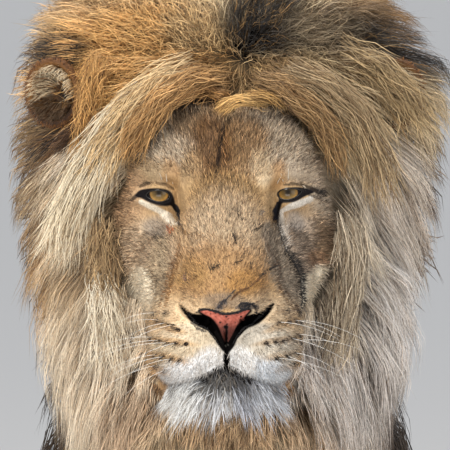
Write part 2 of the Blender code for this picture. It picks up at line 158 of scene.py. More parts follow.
# the skin: every piece of the body melted into one, refined where the face needs it
skinBuild = {
    "voxel": 0.0130,  # body mesh size, halved up to four times towards the eyes and nose
    "faceRounds": ((0.140, 0.190, 0.125, 1.0), (0.124, 0.174, 0.098, 0.062)),  # half width, half height, depth, paw
    "featureRounds": (0.0066, 0.0),  # how far round the eyes, nose and mouth
    "gapFill": 0.0007,  # each piece grows by this before it melts, so the thin cuts close
    "coatDepth": {"head": 2.5, "lower_jaw": 3.5, "nose": 0.3, "mane_ruff": 46, "neck": 52, "mane_breast": 46,
                  "trunk_front": 9, "trunk_rear": 7, "upper_foreleg": 9, "forearm": 5, "forepaw": 3, "thigh": 7,
                  "shank": 5, "hind_foot": 4, "hind_paw": 3, "tail_base": 4, "tail_middle": 4, "tail_tuft": 26,
                  "ear": 46, "eye": 2},  # how far the skin lies under the coat, in mm
}
faceCentre = mm(0, -65)


def joinedFrame():
    # one bmesh with a merged copy of every node; the label of each face is its node's place in the list
    joined = bmesh.new()
    owners = []
    for number, name in enumerate(sorted(nodes)):
        piece = bmesh.new()
        piece.from_mesh(nodes[name].data)
        bmesh.ops.remove_doubles(piece, verts=piece.verts, dist=1e-5)
        piece.normal_update()
        for vert in piece.verts:
            vert.co += vert.normal * skinBuild["gapFill"]
        passing = bpy.data.meshes.new("passing")
        piece.to_mesh(passing)
        owners += [number] * len(piece.faces)
        piece.free()
        joined.from_mesh(passing)
        bpy.data.meshes.remove(passing)
    return joined, owners


def keepLargest(bm):
    left = set(bm.verts)
    best = set()
    while left:
        queue = [left.pop()]
        body = {queue[0]}
        while queue:
            for edge in queue.pop().link_edges:
                for vert in edge.verts:
                    if vert in left:
                        left.discard(vert)
                        body.add(vert)
                        queue.append(vert)
        if len(body) > len(best):
            best = body
    bmesh.ops.delete(bm, geom=[v for v in bm.verts if v not in best], context="VERTS")


def refine(bm, chosen):
    # halves the mesh size of the faces whose middles pass the test
    middles = np.array([face.calc_center_median() for face in bm.faces])
    picked = chosen(middles)
    edges = {edge for face, use in zip(bm.faces, picked) if use for edge in face.edges}
    bmesh.ops.subdivide_edges(bm, edges=list(edges), cuts=1, use_grid_fill=True)


def nearFace(points, across, upDown, behind):
    at = toFace(points)
    around = np.hypot((at[:, 0] - faceCentre[0]) / across, (at[:, 1] - faceCentre[1]) / upDown)
    return (around < 1) & (at[:, 2] > -behind)


def nearFeatures(points, reach):
    # the eyes, the nose and the mouth
    at = toFace(points)
    found = (np.abs(at[:, 0]) < 0.046 + reach) & (at[:, 1] < -0.100 + reach) & (at[:, 1] > -0.192 - reach)
    for side in (1, -1):
        found |= np.hypot((at[:, 0] - side * 0.067) * 0.8, at[:, 1] + 0.001) < 0.020 + reach
    return found & (at[:, 2] > -0.080)


def relax(values, edges, passes, strength=0.5, weight=None):
    # evens a value or a place out over the mesh, each point towards the mean of its neighbours
    values = values.astype(float).copy()
    wide = values.reshape(len(values), -1)
    starts = np.concatenate([edges[:, 0], edges[:, 1]])
    ends = np.concatenate([edges[:, 1], edges[:, 0]])
    count = np.maximum(np.bincount(starts, minlength=len(wide)), 1)
    amount = np.full(len(wide), strength) if weight is None else strength * weight
    for _ in range(passes):
        for column in range(wide.shape[1]):
            total = np.bincount(starts, weights=wide[ends, column], minlength=len(wide))
            wide[:, column] += amount * (total / count - wide[:, column])
    return values


def buildSkin():
    joined, owners = joinedFrame()
    tree = BVHTree.FromBMesh(joined)
    rough = meshObject("skinRough", joined)
    remesh = rough.modifiers.new("melt", "REMESH")
    remesh.mode = "VOXEL"
    remesh.voxel_size = skinBuild["voxel"]
    bpy.context.view_layer.update()
    melted = bpy.data.meshes.new_from_object(rough.evaluated_get(bpy.context.evaluated_depsgraph_get()))
    bpy.data.objects.remove(rough, do_unlink=True)
    bm = bmesh.new()
    bm.from_mesh(melted)
    bpy.data.meshes.remove(melted)
    keepLargest(bm)
    names = sorted(nodes)
    paws = [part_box(name) for name in names if "paw" in name]

    def inPaws(points, length):
        found = np.zeros(len(points), dtype=bool)
        for low, high in paws:
            end = (high[0], min(high[1], low[1] + length), high[2])
            found |= np.all((points > np.array(low) - 0.01) & (points < np.array(end) + 0.01), axis=1)
        return found

    for vert in bm.verts:  # the melted surface goes back onto the solids where it may have lost their form
        near, _, _, distance = tree.find_nearest(vert.co)
        if distance > 0.0004:
            vert.co = vert.co.lerp(near, 0.6)
    for *faceSize, pawLength in skinBuild["faceRounds"]:
        refine(bm, lambda points: nearFace(points, *faceSize) | inPaws(points, pawLength))
    for reach in skinBuild["featureRounds"]:
        refine(bm, lambda points: nearFeatures(points, reach))
    bmesh.ops.recalc_face_normals(bm, faces=bm.faces)
    skin = meshObject("lionSkin", bm)
    skin.data.polygons.foreach_set("use_smooth", [True] * len(skin.data.polygons))
    points = readVectors(skin.data.vertices, "co")
    labels = np.array([owners[tree.find_nearest(Vector(point))[2]] for point in points])
    return skin, points, np.array(names)[labels]


print("skin")
skin, outer, label = buildSkin()
print("skin", sum(face.loop_total - 2 for face in skin.data.polygons), "triangles")


edges = np.empty(len(skin.data.edges) * 2, dtype=np.int32)
skin.data.edges.foreach_get("vertices", edges)
edges = edges.reshape(-1, 2)


def hasLabel(*starts):
    return np.array([name.startswith(starts) for name in label])


def strokeReach(at, path, width, taper=0.35):
    # 1 on a line, 0 at its width; the line thins to its ends by the taper
    path = np.array(path, dtype=float)
    best = np.full(len(at), 1e9)
    place = np.zeros(len(at))
    lengths = np.linalg.norm(np.diff(path, axis=0), axis=1)
    starts = np.concatenate([[0], np.cumsum(lengths)])
    for number, (a, b) in enumerate(zip(path[:-1], path[1:])):
        along = np.clip(((at - a) @ (b - a)) / max(lengths[number] ** 2, 1e-9), 0, 1)
        away = np.linalg.norm(at - (a + along[:, None] * (b - a)), axis=1)
        nearer = away < best
        best = np.where(nearer, away, best)
        place = np.where(nearer, (starts[number] + along * lengths[number]) / starts[-1], place)
    local = width * (1 - taper * (2 * np.abs(place - 0.5)) ** 2)
    return np.clip(1 - best / local, 0, 1)


def ovalReach(at, centre, radii, turn=0.0):
    # 1 in the middle of an oval, 0 at its edge; turn in degrees, anticlockwise
    c, s = math.cos(math.radians(turn)), math.sin(math.radians(turn))
    x, y = (at - np.array(centre)).T
    return np.clip(1 - np.hypot((x * c + y * s) / radii[0], (y * c - x * s) / radii[1]), 0, 1)


def formReach(at, *form):
    # an oval is its middle, radii and turn; a line is its half width and points; "both" puts it on either side
    if form[-1] == "both":
        return np.maximum(formReach(at, *form[:-1]), formReach(at * np.array((-1, 1)), *form[:-1]))
    return ovalReach(at, *form) if isinstance(form[0], tuple) else strokeReach(at, form[1:], form[0])


def insideAmount(at, outline):
    # the distance to a closed outline, positive inside it
    outline = np.asarray(outline, dtype=float)
    inside = np.zeros(len(at), dtype=bool)
    best = np.full(len(at), 1e9)
    for a, b in zip(outline, np.roll(outline, -1, axis=0)):
        crosses = (a[1] > at[:, 1]) != (b[1] > at[:, 1])
        with np.errstate(divide="ignore", invalid="ignore"):
            meets = a[0] + (at[:, 1] - a[1]) * (b[0] - a[0]) / (b[1] - a[1])
        inside ^= crosses & (at[:, 0] < meets)
        along = np.clip(((at - a) @ (b - a)) / max((b - a) @ (b - a), 1e-9), 0, 1)
        best = np.minimum(best, np.linalg.norm(at - (a + along[:, None] * (b - a)), axis=1))
    return np.where(inside, best, -best)


# where short hair ends and the mane begins, in mm on the face
faceOutline = ((-20, 95), (-46, 93), (-60, 88), (-82, 60), (-97, 38), (-110, 12), (-114, -12), (-108, -36),
               (-101, -60), (-94, -82), (-86, -102), (-79, -116), (-78, -150), (-73, -178), (-66, -200),
               (-44, -214), (0, -222), (44, -214), (64, -200), (72, -178), (77, -150), (78, -116), (88, -102),
               (99, -84), (107, -60), (114, -36), (121, -4), (119, 26), (108, 50), (90, 72), (62, 88), (40, 92),
               (16, 88))
onEar = hasLabel("ear")
at = toFace(outer) * 1000
onHead = hasLabel("head", "lower_jaw", "nose", "eye", "mane_ruff") & (at[:, 2] > -112)
inFace = np.where(onHead, insideAmount(at[:, :2], faceOutline), -200.0)
onFace = inFace > 0
longHair = (hasLabel("mane", "neck", "ear", "head", "lower_jaw") & ~onFace).astype(float)
longHair = np.where(onHead, ease((5 - inFace) / 12), relax(longHair, edges, 30))
tailHair = relax(hasLabel("tail_tuft").astype(float), edges, 6)


bodyForms = {
    # the form's height in mm along the skin's normal, then the form in mm on the side view (back, up)
    "elbow": (7.0, (-128, 640), (66, 76)),
    "armpit": (-7.0, 30, (-52, 720), (-62, 620), (-92, 548)),
    "flankHollow": (-6.0, 52, (352, 950), (410, 820), (392, 700)),
    "hipBone": (6.0, (560, 962), (54, 38), -10),
    "thighFront": (6.0, 44, (528, 880), (480, 740), (458, 610)),
    "thighHollow": (-4.0, 40, (610, 880), (640, 760), (640, 650)),
    "hamstring": (-5.0, 22, (690, 850), (742, 730), (734, 620)),
    "buttock": (5.0, (786, 770), (46, 84)),
    "loin": (3.0, 30, (120, 985), (320, 975), (500, 985)),
}
ribs = {"count": 7, "first": 30, "apart": 46, "width": 15, "height": 1.8}
toes = {"back": 0.066, "cleft": 0.0075, "round": 0.0022, "narrow": 0.13}


def shapeBody(points):
    # muscle, rib and bone under the trunk's short coat, and the four toes of each paw
    setPoints(skin.data, points)
    normals = readVectors(skin.data.vertex_normals, "vector")
    onSide = points[:, 1:] * 1000
    lift = np.zeros(len(points))
    for height, *form in bodyForms.values():
        lift += ease(formReach(onSide, *form) * 1.15) * height
    for number in range(ribs["count"]):
        start = ribs["first"] + number * ribs["apart"]
        path = ((start, 930), (start + 46, 800), (start + 30, 640))
        lift += ease(strokeReach(onSide, path, ribs["width"])) * ribs["height"]
    lift *= ease((np.abs(points[:, 0] - midline) - 0.05) / 0.05) * hasLabel("trunk", "thigh", "upper_foreleg")
    lift /= 1000
    for name in sorted(nodes):
        if "paw" not in name:
            continue
        low, high = (np.array(corner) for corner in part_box(name))
        across = np.abs((points[:, 0] - (low[0] + high[0]) / 2) / ((high[0] - low[0]) / 2))
        forward = ease((low[1] + toes["back"] - points[:, 1]) / toes["back"] * 1.5) * hasLabel(name)
        cleft = np.exp(-((across - 0.5) / toes["narrow"]) ** 2) + np.exp(-(across / toes["narrow"]) ** 2)
        lift += forward * (toes["round"] - cleft * (toes["cleft"] + toes["round"]))
    return points + normals * lift[:, None]


def sinkSkin():
    depth = np.zeros(len(outer))
    for start, value in skinBuild["coatDepth"].items():
        depth[hasLabel(start)] = value / 1000
    outside = np.clip(-inFace, 0, 70)
    sunk = (2.5 + 43.5 * ease(outside / 62)) / 1000  # the mane thickens away from the face
    depth = np.where(onHead & ~onFace, np.maximum(depth * (outside > 40), sunk), depth)
    depth = np.where(onHead & ~onFace, np.minimum(depth, sunk + 0.004), depth)
    beard = ease(ovalReach(at[:, :2], (0, -224), (72, 30)) * 1.6) * onHead * (at[:, 2] > -20)
    depth = np.maximum(depth, beard * 0.016)
    depth = relax(depth, edges, 60, weight=np.where(onFace, 0.12, 0.8))
    fine = nearFace(outer, 0.150, 0.200, 0.125)
    smoothed = relax(outer, edges, 260, weight=onEar.astype(float))  # an ear is a piece of its own
    smoothed = relax(smoothed, edges, 5, weight=np.where(fine, 0.8, 0.5))
    smoothed = shapeBody(smoothed)
    points = smoothed.copy()
    steps = 12
    for _ in range(steps):
        setPoints(skin.data, points)
        normals = readVectors(skin.data.vertex_normals, "vector")
        normals = unit(relax(normals, edges, 4))
        points -= normals * (depth / steps)[:, None]
        points = relax(points, edges, 1, weight=ease(depth / 0.02))
    points[:, 2] -= points[:, 2].min() * ease((0.030 - points[:, 2]) / 0.028)  # the soles reach the floor
    return smoothed, points, depth


outer, inner, depth = sinkSkin()


# the eyes' bare black skin and their openings, in mm outwards from the eye's middle and up; -1 is the lion's right
eyeSkin = {
    -1: ((26.0, -1.9), (22.6, 2.2), (19.0, 3.9), (12.8, 4.7), (5.8, 5.0), (-2.2, 4.5), (-8.0, 3.0), (-11.4, 0.2),
         (-13.5, -5.2), (-14.9, -13.2), (-16.5, -20.0), (-13.1, -15.6), (-10.8, -11.6), (-5.7, -12.6), (1.2, -12.2),
         (8.1, -10.2), (13.9, -7.3), (18.5, -4.7), (23.1, -3.4)),
    1: ((25.0, 1.2), (22.0, 3.2), (16.7, 5.2), (9.8, 6.1), (1.8, 5.8), (-5.2, 4.2), (-8.8, 1.0), (-10.6, -1.8),
        (-10.6, -5.2), (-11.2, -9.8), (-12.2, -15.6), (-12.6, -21.3), (-12.2, -25.0), (-10.2, -19.0), (-8.8, -13.3),
        (-7.5, -9.2), (-4.0, -9.4), (2.9, -9.1), (8.7, -6.8), (14.4, -3.0), (20.2, -0.6)),
}
eyeOpening = {
    -1: ((14.8, -2.0), (11.6, 2.1), (5.5, 3.1), (-1.6, 2.8), (-7.6, 0.8), (-9.6, -2.9), (-7.4, -6.7), (-1.6, -8.6),
         (3.4, -8.5), (8.8, -6.6), (12.8, -4.0)),
    1: ((13.4, 2.2), (7.6, 4.6), (2.2, 5.1), (-5.3, 4.5), (-10.3, 2.4), (-12.2, -1.4), (-9.2, -5.4), (-2.8, -6.8),
        (3.0, -5.6), (8.0, -2.8)),
}


def roundOff(outline, passes=2):
    # corner cutting, so that a few measured points make a smooth outline
    for _ in range(passes):
        after = np.roll(outline, -1, axis=0)
        outline = np.stack([outline * 0.75 + after * 0.25, outline * 0.25 + after * 0.75], 1).reshape(-1, 2)
    return outline


eyeSkinLine = {side: roundOff(np.array(line)) for side, line in eyeSkin.items()}
eyeOpenLine = {side: roundOff(np.array(line)) for side, line in eyeOpening.items()}
eyeSpread, eyeLift = toFace(eyeCentres[1])[:2] * 1000
eyeFront = np.mean([toFace(centre)[2] for centre in eyeCentres.values()]) * 1000


def eyePlace(at, side):
    # outward and upward from an eye's middle
    return np.stack([at[:, 0] * side - eyeSpread, at[:, 1] - eyeLift], 1)


def ballHeight(away, radius):
    # how far a ball's front stands before its middle; past its shoulder it runs on as a cone
    shoulder = 0.82 * radius
    held = np.minimum(away, shoulder)
    return np.sqrt(radius ** 2 - held ** 2) - np.maximum(away - shoulder, 0) * 0.75


sculpt = {
    # depth in mm along the skin's normal, then the form in mm from the bridge
    "browRidge": (4.0, (63, 21), (36, 11), 6, "both"),
    "innerBrow": (2.6, (40, 12), (12, 14), 50, "both"),
    "browCrease": (-3.6, 5, (6, 76), (1, 65), (-3, 55), (-4, 40), (-6, 21)),
    "creaseSides": (1.3, (13, 48), (10, 30), "both"),
    "lidFold": (-2.0, 2.8, (49, 1), (55, 8), (65, 11.5), (77, 10.5), (88, 5.5), (96, -1), "both"),
    "underLid": (-1.3, 3.5, (49, -17), (60, -19), (74, -16), (85, -9), "both"),
    "tearTrough": (-2.6, 6, (48, -11), (49, -20), (48, -32), (46, -44), "both"),
    "underEye": (-1.6, (66, -30), (22, 12), 12, "both"),
    "cheekBone": (2.5, (92, -28), (20, 26), -20, "both"),
    "noseSide": (-1.6, 10, (34, -40), (38, -70), (42, -96), "both"),
    "padRound": (4.0, (38, -157), (38, 28), -14, "both"),
    "padRoot": (-1.8, 8, (44, -104), (58, -112), (72, -128), "both"),
    "philtrum": (-4.0, 3.4, (0, -140), (1, -150), (1, -160), (1, -172)),
    "mouthPeak": (-5.0, (1, -176), (9, 8)),
    "mouthLine": (-5.0, 4.5, (4, -175), (16, -180), (30, -186), (44, -190), (60, -189), (72, -182), "both"),
    "lipUnder": (-1.6, (26, -196), (24, 7), -12, "both"),
    "chinRound": (3.0, (0, -208), (40, 18)),
    "nostril": (-10.0, (24, -127), (14, 7.5), 10, "both"),
    "nostrilSlit": (-5.0, 4.6, (30, -125), (38, -120), (46, -111), "both"),
    "alarFold": (-1.4, 4, (30, -112), (40, -105), (49, -104), "both"),
    "noseLip": (1.5, 4, (-27, -118), (-12, -118), (1, -121), (13, -118.5), (27, -117)),
    "leatherDip": (-1.4, 2.6, (1, -128), (1, -140), (1.5, -153)),
    "leatherSide": (-2.0, 3.2, (15, -131), (12, -140), (6, -150), "both"),
}


def shapeHead(points):
    # the folds and hollows that only the skin has
    at = toFace(points) * 1000
    front = ease((at[:, 2] + 110) / 30)
    setPoints(skin.data, points)
    normals = readVectors(skin.data.vertex_normals, "vector") @ faceBasis.T
    lift = np.zeros(len(at))
    for height, *form in sculpt.values():
        lift += ease(formReach(at[:, :2], *form) * 1.15) * height
    smoothed = unit(relax(normals, edges, 6))
    at += smoothed * (lift * front)[:, None]
    for side in (1, -1):
        local = eyePlace(at[:, :2], side)
        away = np.linalg.norm(local, axis=1)
        edge = insideAmount(local, eyeSkinLine[side])
        opening = insideAmount(local, eyeOpenLine[side])
        near = front * (at[:, 0] * side > 0)
        radius = eyeShape["radius"] * 1000
        thick = 0.5 + 1.7 * ease(-opening / 3.6)  # the lid thins to its edge
        lid = eyeFront + ballHeight(away, radius + thick)
        hold = ease((12 + edge) / 9) * near
        at[:, 2] += (lid - at[:, 2]) * hold
        pocket = eyeFront + ballHeight(away, radius) - 3.0
        inner = ease((opening - 0.1) / 0.8) * near
        at[:, 2] += np.minimum(pocket - at[:, 2], 0) * inner
    points = fromFace(at / 1000)
    blend = nearFace(points, 0.126, 0.176, 0.105) & ~nearFeatures(points, -0.002)
    return relax(points, edges, 2, weight=blend * 0.8)


inner = shapeHead(inner)
setPoints(skin.data, inner)
print("skin shaped")


# colours of the short hair and the skin: colour, amount, then a form in mm on the face; later ones lie over earlier
facePaint = (
    # the grey-tan forehead, warm brown in its middle, and the shade under the mane
    ("#b4a48e", 1.0, (52, 55), (64, 52), "both"), ("#7d6344", 0.8, (-34, 66), (30, 20)),
    ("#8a683e", 0.8, (18, 48), (32, 34)), ("#6b4b28", 0.9, (-12, 44), (26, 44), 6),
    ("#7c5c36", 0.8, (-4, 10), (20, 16)),
    ("#15100c", 1.0, 13, (-102, 30), (-90, 52), (-66, 82), (-30, 95), (10, 94), (40, 90)),
    ("#2a211a", 0.9, 12, (40, 92), (70, 84), (98, 62)),
    # the brows
    ("#9a7344", 0.7, (-54, 20), (14, 20), 15), ("#a07747", 0.7, (52, 18), (13, 20), -15),
    ("#9c805b", 0.8, (-34, 24), (15, 22), -10), ("#ccb593", 0.8, (36, 24), (15, 22), 10),
    ("#9d8666", 0.8, (-84, 22), (32, 18), 8), ("#a59581", 0.8, (84, 22), (32, 18), -8),
    ("#96794f", 0.8, (0, -2), (46, 26)),
    # the bridge, golden over the nose
    ("#b39d80", 1.0, (0, -42), (52, 58)), ("#a27e54", 0.9, (-6, -88), (72, 52)),
    ("#9c7340", 0.8, (20, -90), (26, 20)), ("#9a784a", 0.8, (-36, -80), (26, 20)),
    ("#7d6c5a", 0.8, (-2, -107), (30, 11)),
    # the cheeks: the lion's left one darker and cooler, partly its own colour and partly painted shade
    ("#bea689", 1.0, (-78, -56), (42, 44)), ("#978572", 1.0, (84, -56), (46, 50)),
    ("#7f6547", 0.7, (102, -40), (18, 34)), ("#b69674", 0.9, (-100, -2), (30, 40)),
    ("#c0ae97", 0.9, (110, 2), (32, 40)),
    # grey under the eyes and beside the muzzle
    ("#857c72", 0.7, (-69, -33), (18, 14), -20), ("#807c78", 0.6, (70, -28), (14, 14)),
    ("#877967", 1.0, 17, (44, -38), (54, -66), (66, -96), (70, -108)),
    ("#9e8b70", 0.9, 13, (-62, -48), (-66, -80), (-68, -112)), ("#a07650", 0.5, (90, -64), (14, 12)),
    # pale wedges behind the muzzle
    ("#fff0d4", 1.0, 16, (-85, -80), (-84, -98), (-78, -122)),
    ("#f4e6cc", 1.0, 17, (93, -78), (88, -94), (80, -118)),
    # the two dark strokes at the face's edges: painted shade where the mane meets the face
    ("#3a2d22", 0.9, 7, (113, -60), (103, -84), (88, -110)), ("#4a3a29", 0.8, 11, (-116, -20), (-115, -40)),
    ("#7a5631", 0.8, 5, (-92, -102), (-88, -112)),
    # the cream muzzle; the lion's left side darker and cooler with painted shade
    ("#dcc09a", 1.0, (-52, -138), (56, 44), 10), ("#c6ad8c", 1.0, (48, -134), (54, 42), -10),
    ("#d9c8ac", 0.9, (-32, -142), (44, 20), 8), ("#b4a895", 0.9, (34, -142), (44, 20), -8),
    ("#d0bea2", 0.95, (-34, -158), (58, 34), 8), ("#c0b6a6", 0.95, (34, -158), (56, 34), -8),
    # white lips, with painted shade bluish grey on the lion's left side
    ("#ffffff", 1.0, (-32, -179), (54, 21), 8), ("#dde2e8", 1.0, (34, -179), (54, 22), -8),
    ("#f1efec", 0.9, (15, -168), (20, 20), "both"), ("#deb888", 0.9, (-76, -172), (14, 24), 10),
    ("#c6a67d", 0.9, (77, -172), (14, 26), -10),
    # tan bands between the whisker rows, darker on the lion's left side with painted shade
    ("#b08653", 0.65, (-57, -131), (28, 5.0), -22), ("#b48c5b", 0.65, (-54, -146), (36, 4.4), -9),
    ("#bd9768", 0.7, (-58, -161), (32, 4.8), -12), ("#bd9768", 0.7, (-66, -172), (20, 5), -24),
    ("#94744c", 0.55, (56, -129), (28, 4.8), 27), ("#97774f", 0.55, (54, -145), (36, 4.4), 11),
    ("#a08460", 0.5, (57, -159), (30, 4.4), 12), ("#a08460", 0.5, (62, -170), (20, 4.6), 16),
    # the chin, with painted shade under the mouth
    ("#dedcd8", 1.0, (0, -202), (62, 22)), ("#322e2b", 1.0, (0, -187), (34, 11)),
    ("#8a6c4c", 1.0, (68, -190), (16, 13), "both"),
    # white under the lids
    ("#e2d6c0", 1.0, 4.2, (-86, -7), (-76, -13), (-66, -17), (-57, -20.5)),
    ("#ddd2bf", 0.9, 5.0, (-66, -18), (-59, -22), (-54, -28)),
    ("#d3cabd", 1.0, 4.4, (88, -4), (75, -10), (66, -13), (58, -17)),
    ("#d8cfc2", 1.0, 3.8, (58, -17), (58, -30), (59, -44), (61, -54)),
    # tear lines and the seams beside the nose
    ("#26262a", 1.0, 3.2, (-53, -11), (-50.5, -18), (-47.5, -25), (-46.5, -32), (-43, -38)),
    ("#23232a", 1.0, 2.6, (54.5, -9), (54, -18), (53.5, -27), (55, -36)),
    ("#4f4840", 0.9, 2.6, (52, -26), (56, -44), (61, -58)),
    ("#211d1b", 1.0, 4.0, (61, -57), (70, -71), (75, -83), (75, -97), (77, -108), (72, -117)),
    ("#59432f", 0.9, 2.4, (37, -45), (44, -62), (51, -69), (54, -82), (57, -97), (66, -109), (72, -116)),
    ("#7d5c36", 0.8, 2.6, (-43, -37), (-38, -43), (-23, -43)),
    ("#7a542c", 0.9, 2.8, (-44, -54), (-49, -68), (-55, -86), (-57, -97), (-62, -112)),
    ("#2a2422", 1.0, 3.0, (84, 1), (91, 4), (99, 2)), ("#4a3f36", 0.8, 2.0, (86, -1), (95, -3), (102, -8)),
    ("#3a2e26", 0.9, 2.6, (-84, -1), (-91, -2), (-97, -6)),
    # painted shade in the lid folds, and the small marks under the eyes
    ("#33271c", 0.8, 2.4, (-88, 7), (-82, 10), (-74, 11.5)),
    ("#4a3826", 0.7, 2.2, (-70, 11), (-60, 9.5), (-54, 6)),
    ("#3f3226", 0.8, 2.2, (60, 9), (70, 10), (80, 8.5)), ("#2c231b", 0.9, 2.8, (80, 8), (91, 5), (98, -1)),
    ("#a8552a", 1.0, (-55.5, -35), (3.0, 4.2)), ("#33302d", 0.9, 2.4, (-69, -45), (-64, -43)),
    ("#6b6b70", 0.8, (38, -19), (5, 3), 20),
    # the crease of the brow, dark with painted shade in the fold
    ("#17110d", 1.0, 2.2, (8, 79), (2, 67), (-3, 57), (-5, 42)),
    ("#2e1f15", 0.9, 2.6, (-5, 43), (-7, 30), (-8, 17)),
    # old scars
    ("#1f1712", 1.0, 1.4, (9, -18), (13, -22), (17, -27)),
    ("#2c221b", 1.0, 1.4, (7, -40), (9, -45), (11, -51)), ("#2a211b", 1.0, 1.4, (28, -37), (37, -34)),
    ("#33271d", 1.0, 1.2, (9, -70), (17, -68)), ("#33271d", 1.0, 1.2, (25, -69), (25.5, -75)),
    ("#241b15", 1.0, 1.7, (43, -77), (50, -73)), ("#2a1f17", 1.0, 1.5, (33, -84), (40, -80)),
    ("#251c16", 1.0, 1.7, (-15, -77), (-6, -72)), ("#5a4048", 1.0, 1.6, (-38, -82), (-38.5, -88)),
    ("#6b4a2a", 0.9, 1.4, (-33, -88), (-28, -83)),
    ("#64452c", 0.9, 1.4, (6, -106), (13, -99), (24, -94), (34, -86)),
    # dark skin above the leather
    ("#5e5754", 0.8, 5, (-8, -117), (-4, -112), (0, -108)),
    ("#4a4545", 0.8, 5, (12, -114), (20, -112), (28, -113)),
)
whiskerRows = {  # the dark spots that the whiskers leave from, mm on the face
    -1: ((-69.5, -119), (-57, -119), (-64, -126.5), (-58, -129), (-51.5, -131), (-46, -135), (-71, -143),
         (-65, -146), (-56.5, -148.5), (-48, -148.5), (-38, -149.5), (-67, -160), (-60, -162), (-52, -164),
         (-44, -165), (-66, -170), (-58, -175)),
    1: ((60, -116.5), (72, -117.5), (52.5, -128), (61, -127.5), (68, -126), (74, -126), (49, -147.5), (56, -146),
        (64, -144), (71.5, -140), (40, -148.5), (73, -146), (68, -158), (60, -161), (50, -163), (66, -168)),
}
noseLeather = np.array(((-26, -117), (-19, -116), (-11, -118), (-4, -120), (2, -121.5), (9, -120), (16, -118),
                        (21, -116), (25.5, -116.5), (22, -119.5), (19.5, -123), (16.5, -127), (13, -132), (10, -137),
                        (6.5, -143.5), (1.5, -150), (-2.5, -143.5), (-5.5, -137), (-9, -131), (-13.5, -126),
                        (-18.5, -122), (-22, -120)))
nostrils = {
    -1: ((-44, -110.5), (-39, -116), (-33, -120.5), (-27, -121.5), (-22, -121.5), (-15, -123.5), (-10, -128),
         (-6.5, -134), (-3.5, -142), (1, -151), (-5, -148), (-10, -141.5), (-15, -136.5), (-21, -133.8), (-27, -131),
         (-33, -127), (-38, -121), (-42, -115.5)),
    1: ((48, -109), (43, -113), (38, -117), (32.5, -120.5), (27, -121), (20.5, -123.5), (15, -128), (11.5, -133),
        (8.5, -140), (2, -151), (9, -147), (14.5, -140), (21, -133.5), (29, -130.5), (35, -127), (41, -121),
        (46.5, -113.5)),
}
nostrilLine = {side: roundOff(np.array(line, dtype=float)) for side, line in nostrils.items()}
noseLine = roundOff(noseLeather)
coatPaint = {
    "body": "#b8935f", "back": "#a27d4c", "belly": "#d9c7a6", "legs": "#c09d6c", "paws": "#cdb084",
    "joints": "#7a5a38", "innerLegs": "#d8c4a2", "manePale": "#d8c3a0", "maneDark": "#2a2420", "maneTop": "#8f6c42",
    "maneRear": "#6b4e30", "tailTuft": "#241c17", "head": "#b3936a",
}
coatLinear = {name: hexToLinear(code) for name, code in coatPaint.items()}
manePaint = (  # the mane round the face, by the same forms
    ("#c79a5e", 1.0, (-95, 120), (150, 110)), ("#c49a62", 0.9, (-60, 150), (90, 60)),
    ("#b89c72", 0.8, (-30, 168), (50, 36)), ("#a07a4c", 0.9, (-25, 110), (50, 50)),
    ("#7d5a36", 0.9, (20, 100), (60, 30)), ("#a3855c", 1.0, (70, 110), (90, 50)),
    ("#b09a76", 0.9, (140, 90), (100, 90)), ("#1a1613", 1.0, (45, 175), (70, 50)),
    ("#75654f", 1.0, (150, 170), (110, 50)), ("#26211c", 1.0, (205, 172), (90, 60)),
    ("#efd8b4", 1.0, (-150, 0), (90, 70)), ("#ecdcc2", 1.0, (-132, 46), (38, 38)),
    ("#5c4023", 1.0, (-176, 68), (28, 34)), ("#806a49", 0.9, (-208, 30), (40, 110)),
    ("#1f1a15", 1.0, (-172, 150), (40, 24)), ("#17110d", 1.0, (-178, 61), (13, 11)),
    ("#7d6644", 0.8, (-112, -20), (22, 60)), ("#8f7656", 0.9, (-122, -60), (46, 46)),
    ("#96703f", 0.8, (-200, -70), (50, 80)), ("#f8e6c8", 1.0, (-130, -160), (110, 90)),
    ("#8a745c", 0.9, (-92, -214), (44, 46)), ("#8f7759", 1.0, (0, -240), (90, 50)),
    ("#90785c", 0.9, (85, -225), (60, 40)), ("#b2a99e", 1.0, (130, -170), (100, 80)),
    ("#978974", 0.9, (112, -85), (34, 60)), ("#d0c0a6", 1.0, (125, -20), (60, 70)),
    ("#d2c4b2", 0.9, (178, 10), (60, 80)), ("#ddd4c8", 1.0, (178, -85), (60, 80)),
    ("#2a211a", 1.0, (217, 30), (26, 60)),
)


def mixIn(colours, code, amount):
    target = hexToLinear(code) if isinstance(code, str) else code
    return colours + (target - colours) * np.clip(amount, 0, 1)[:, None]


def paintForms(at, colours, table):
    for code, amount, *form in table:
        gain = 2.0 if isinstance(form[0], tuple) else 2.2
        colours = mixIn(colours, code, ease(formReach(at, *form) * gain) * amount)
    return colours


def paintFace(at):
    colours = paintForms(at, np.tile(coatLinear["head"], (len(at), 1)), facePaint)
    for spot in whiskerRows[-1] + whiskerRows[1]:
        colours = mixIn(colours, "#1c120c", ease(ovalReach(at, spot, (3.1, 2.7)) * 2.6))
    return colours


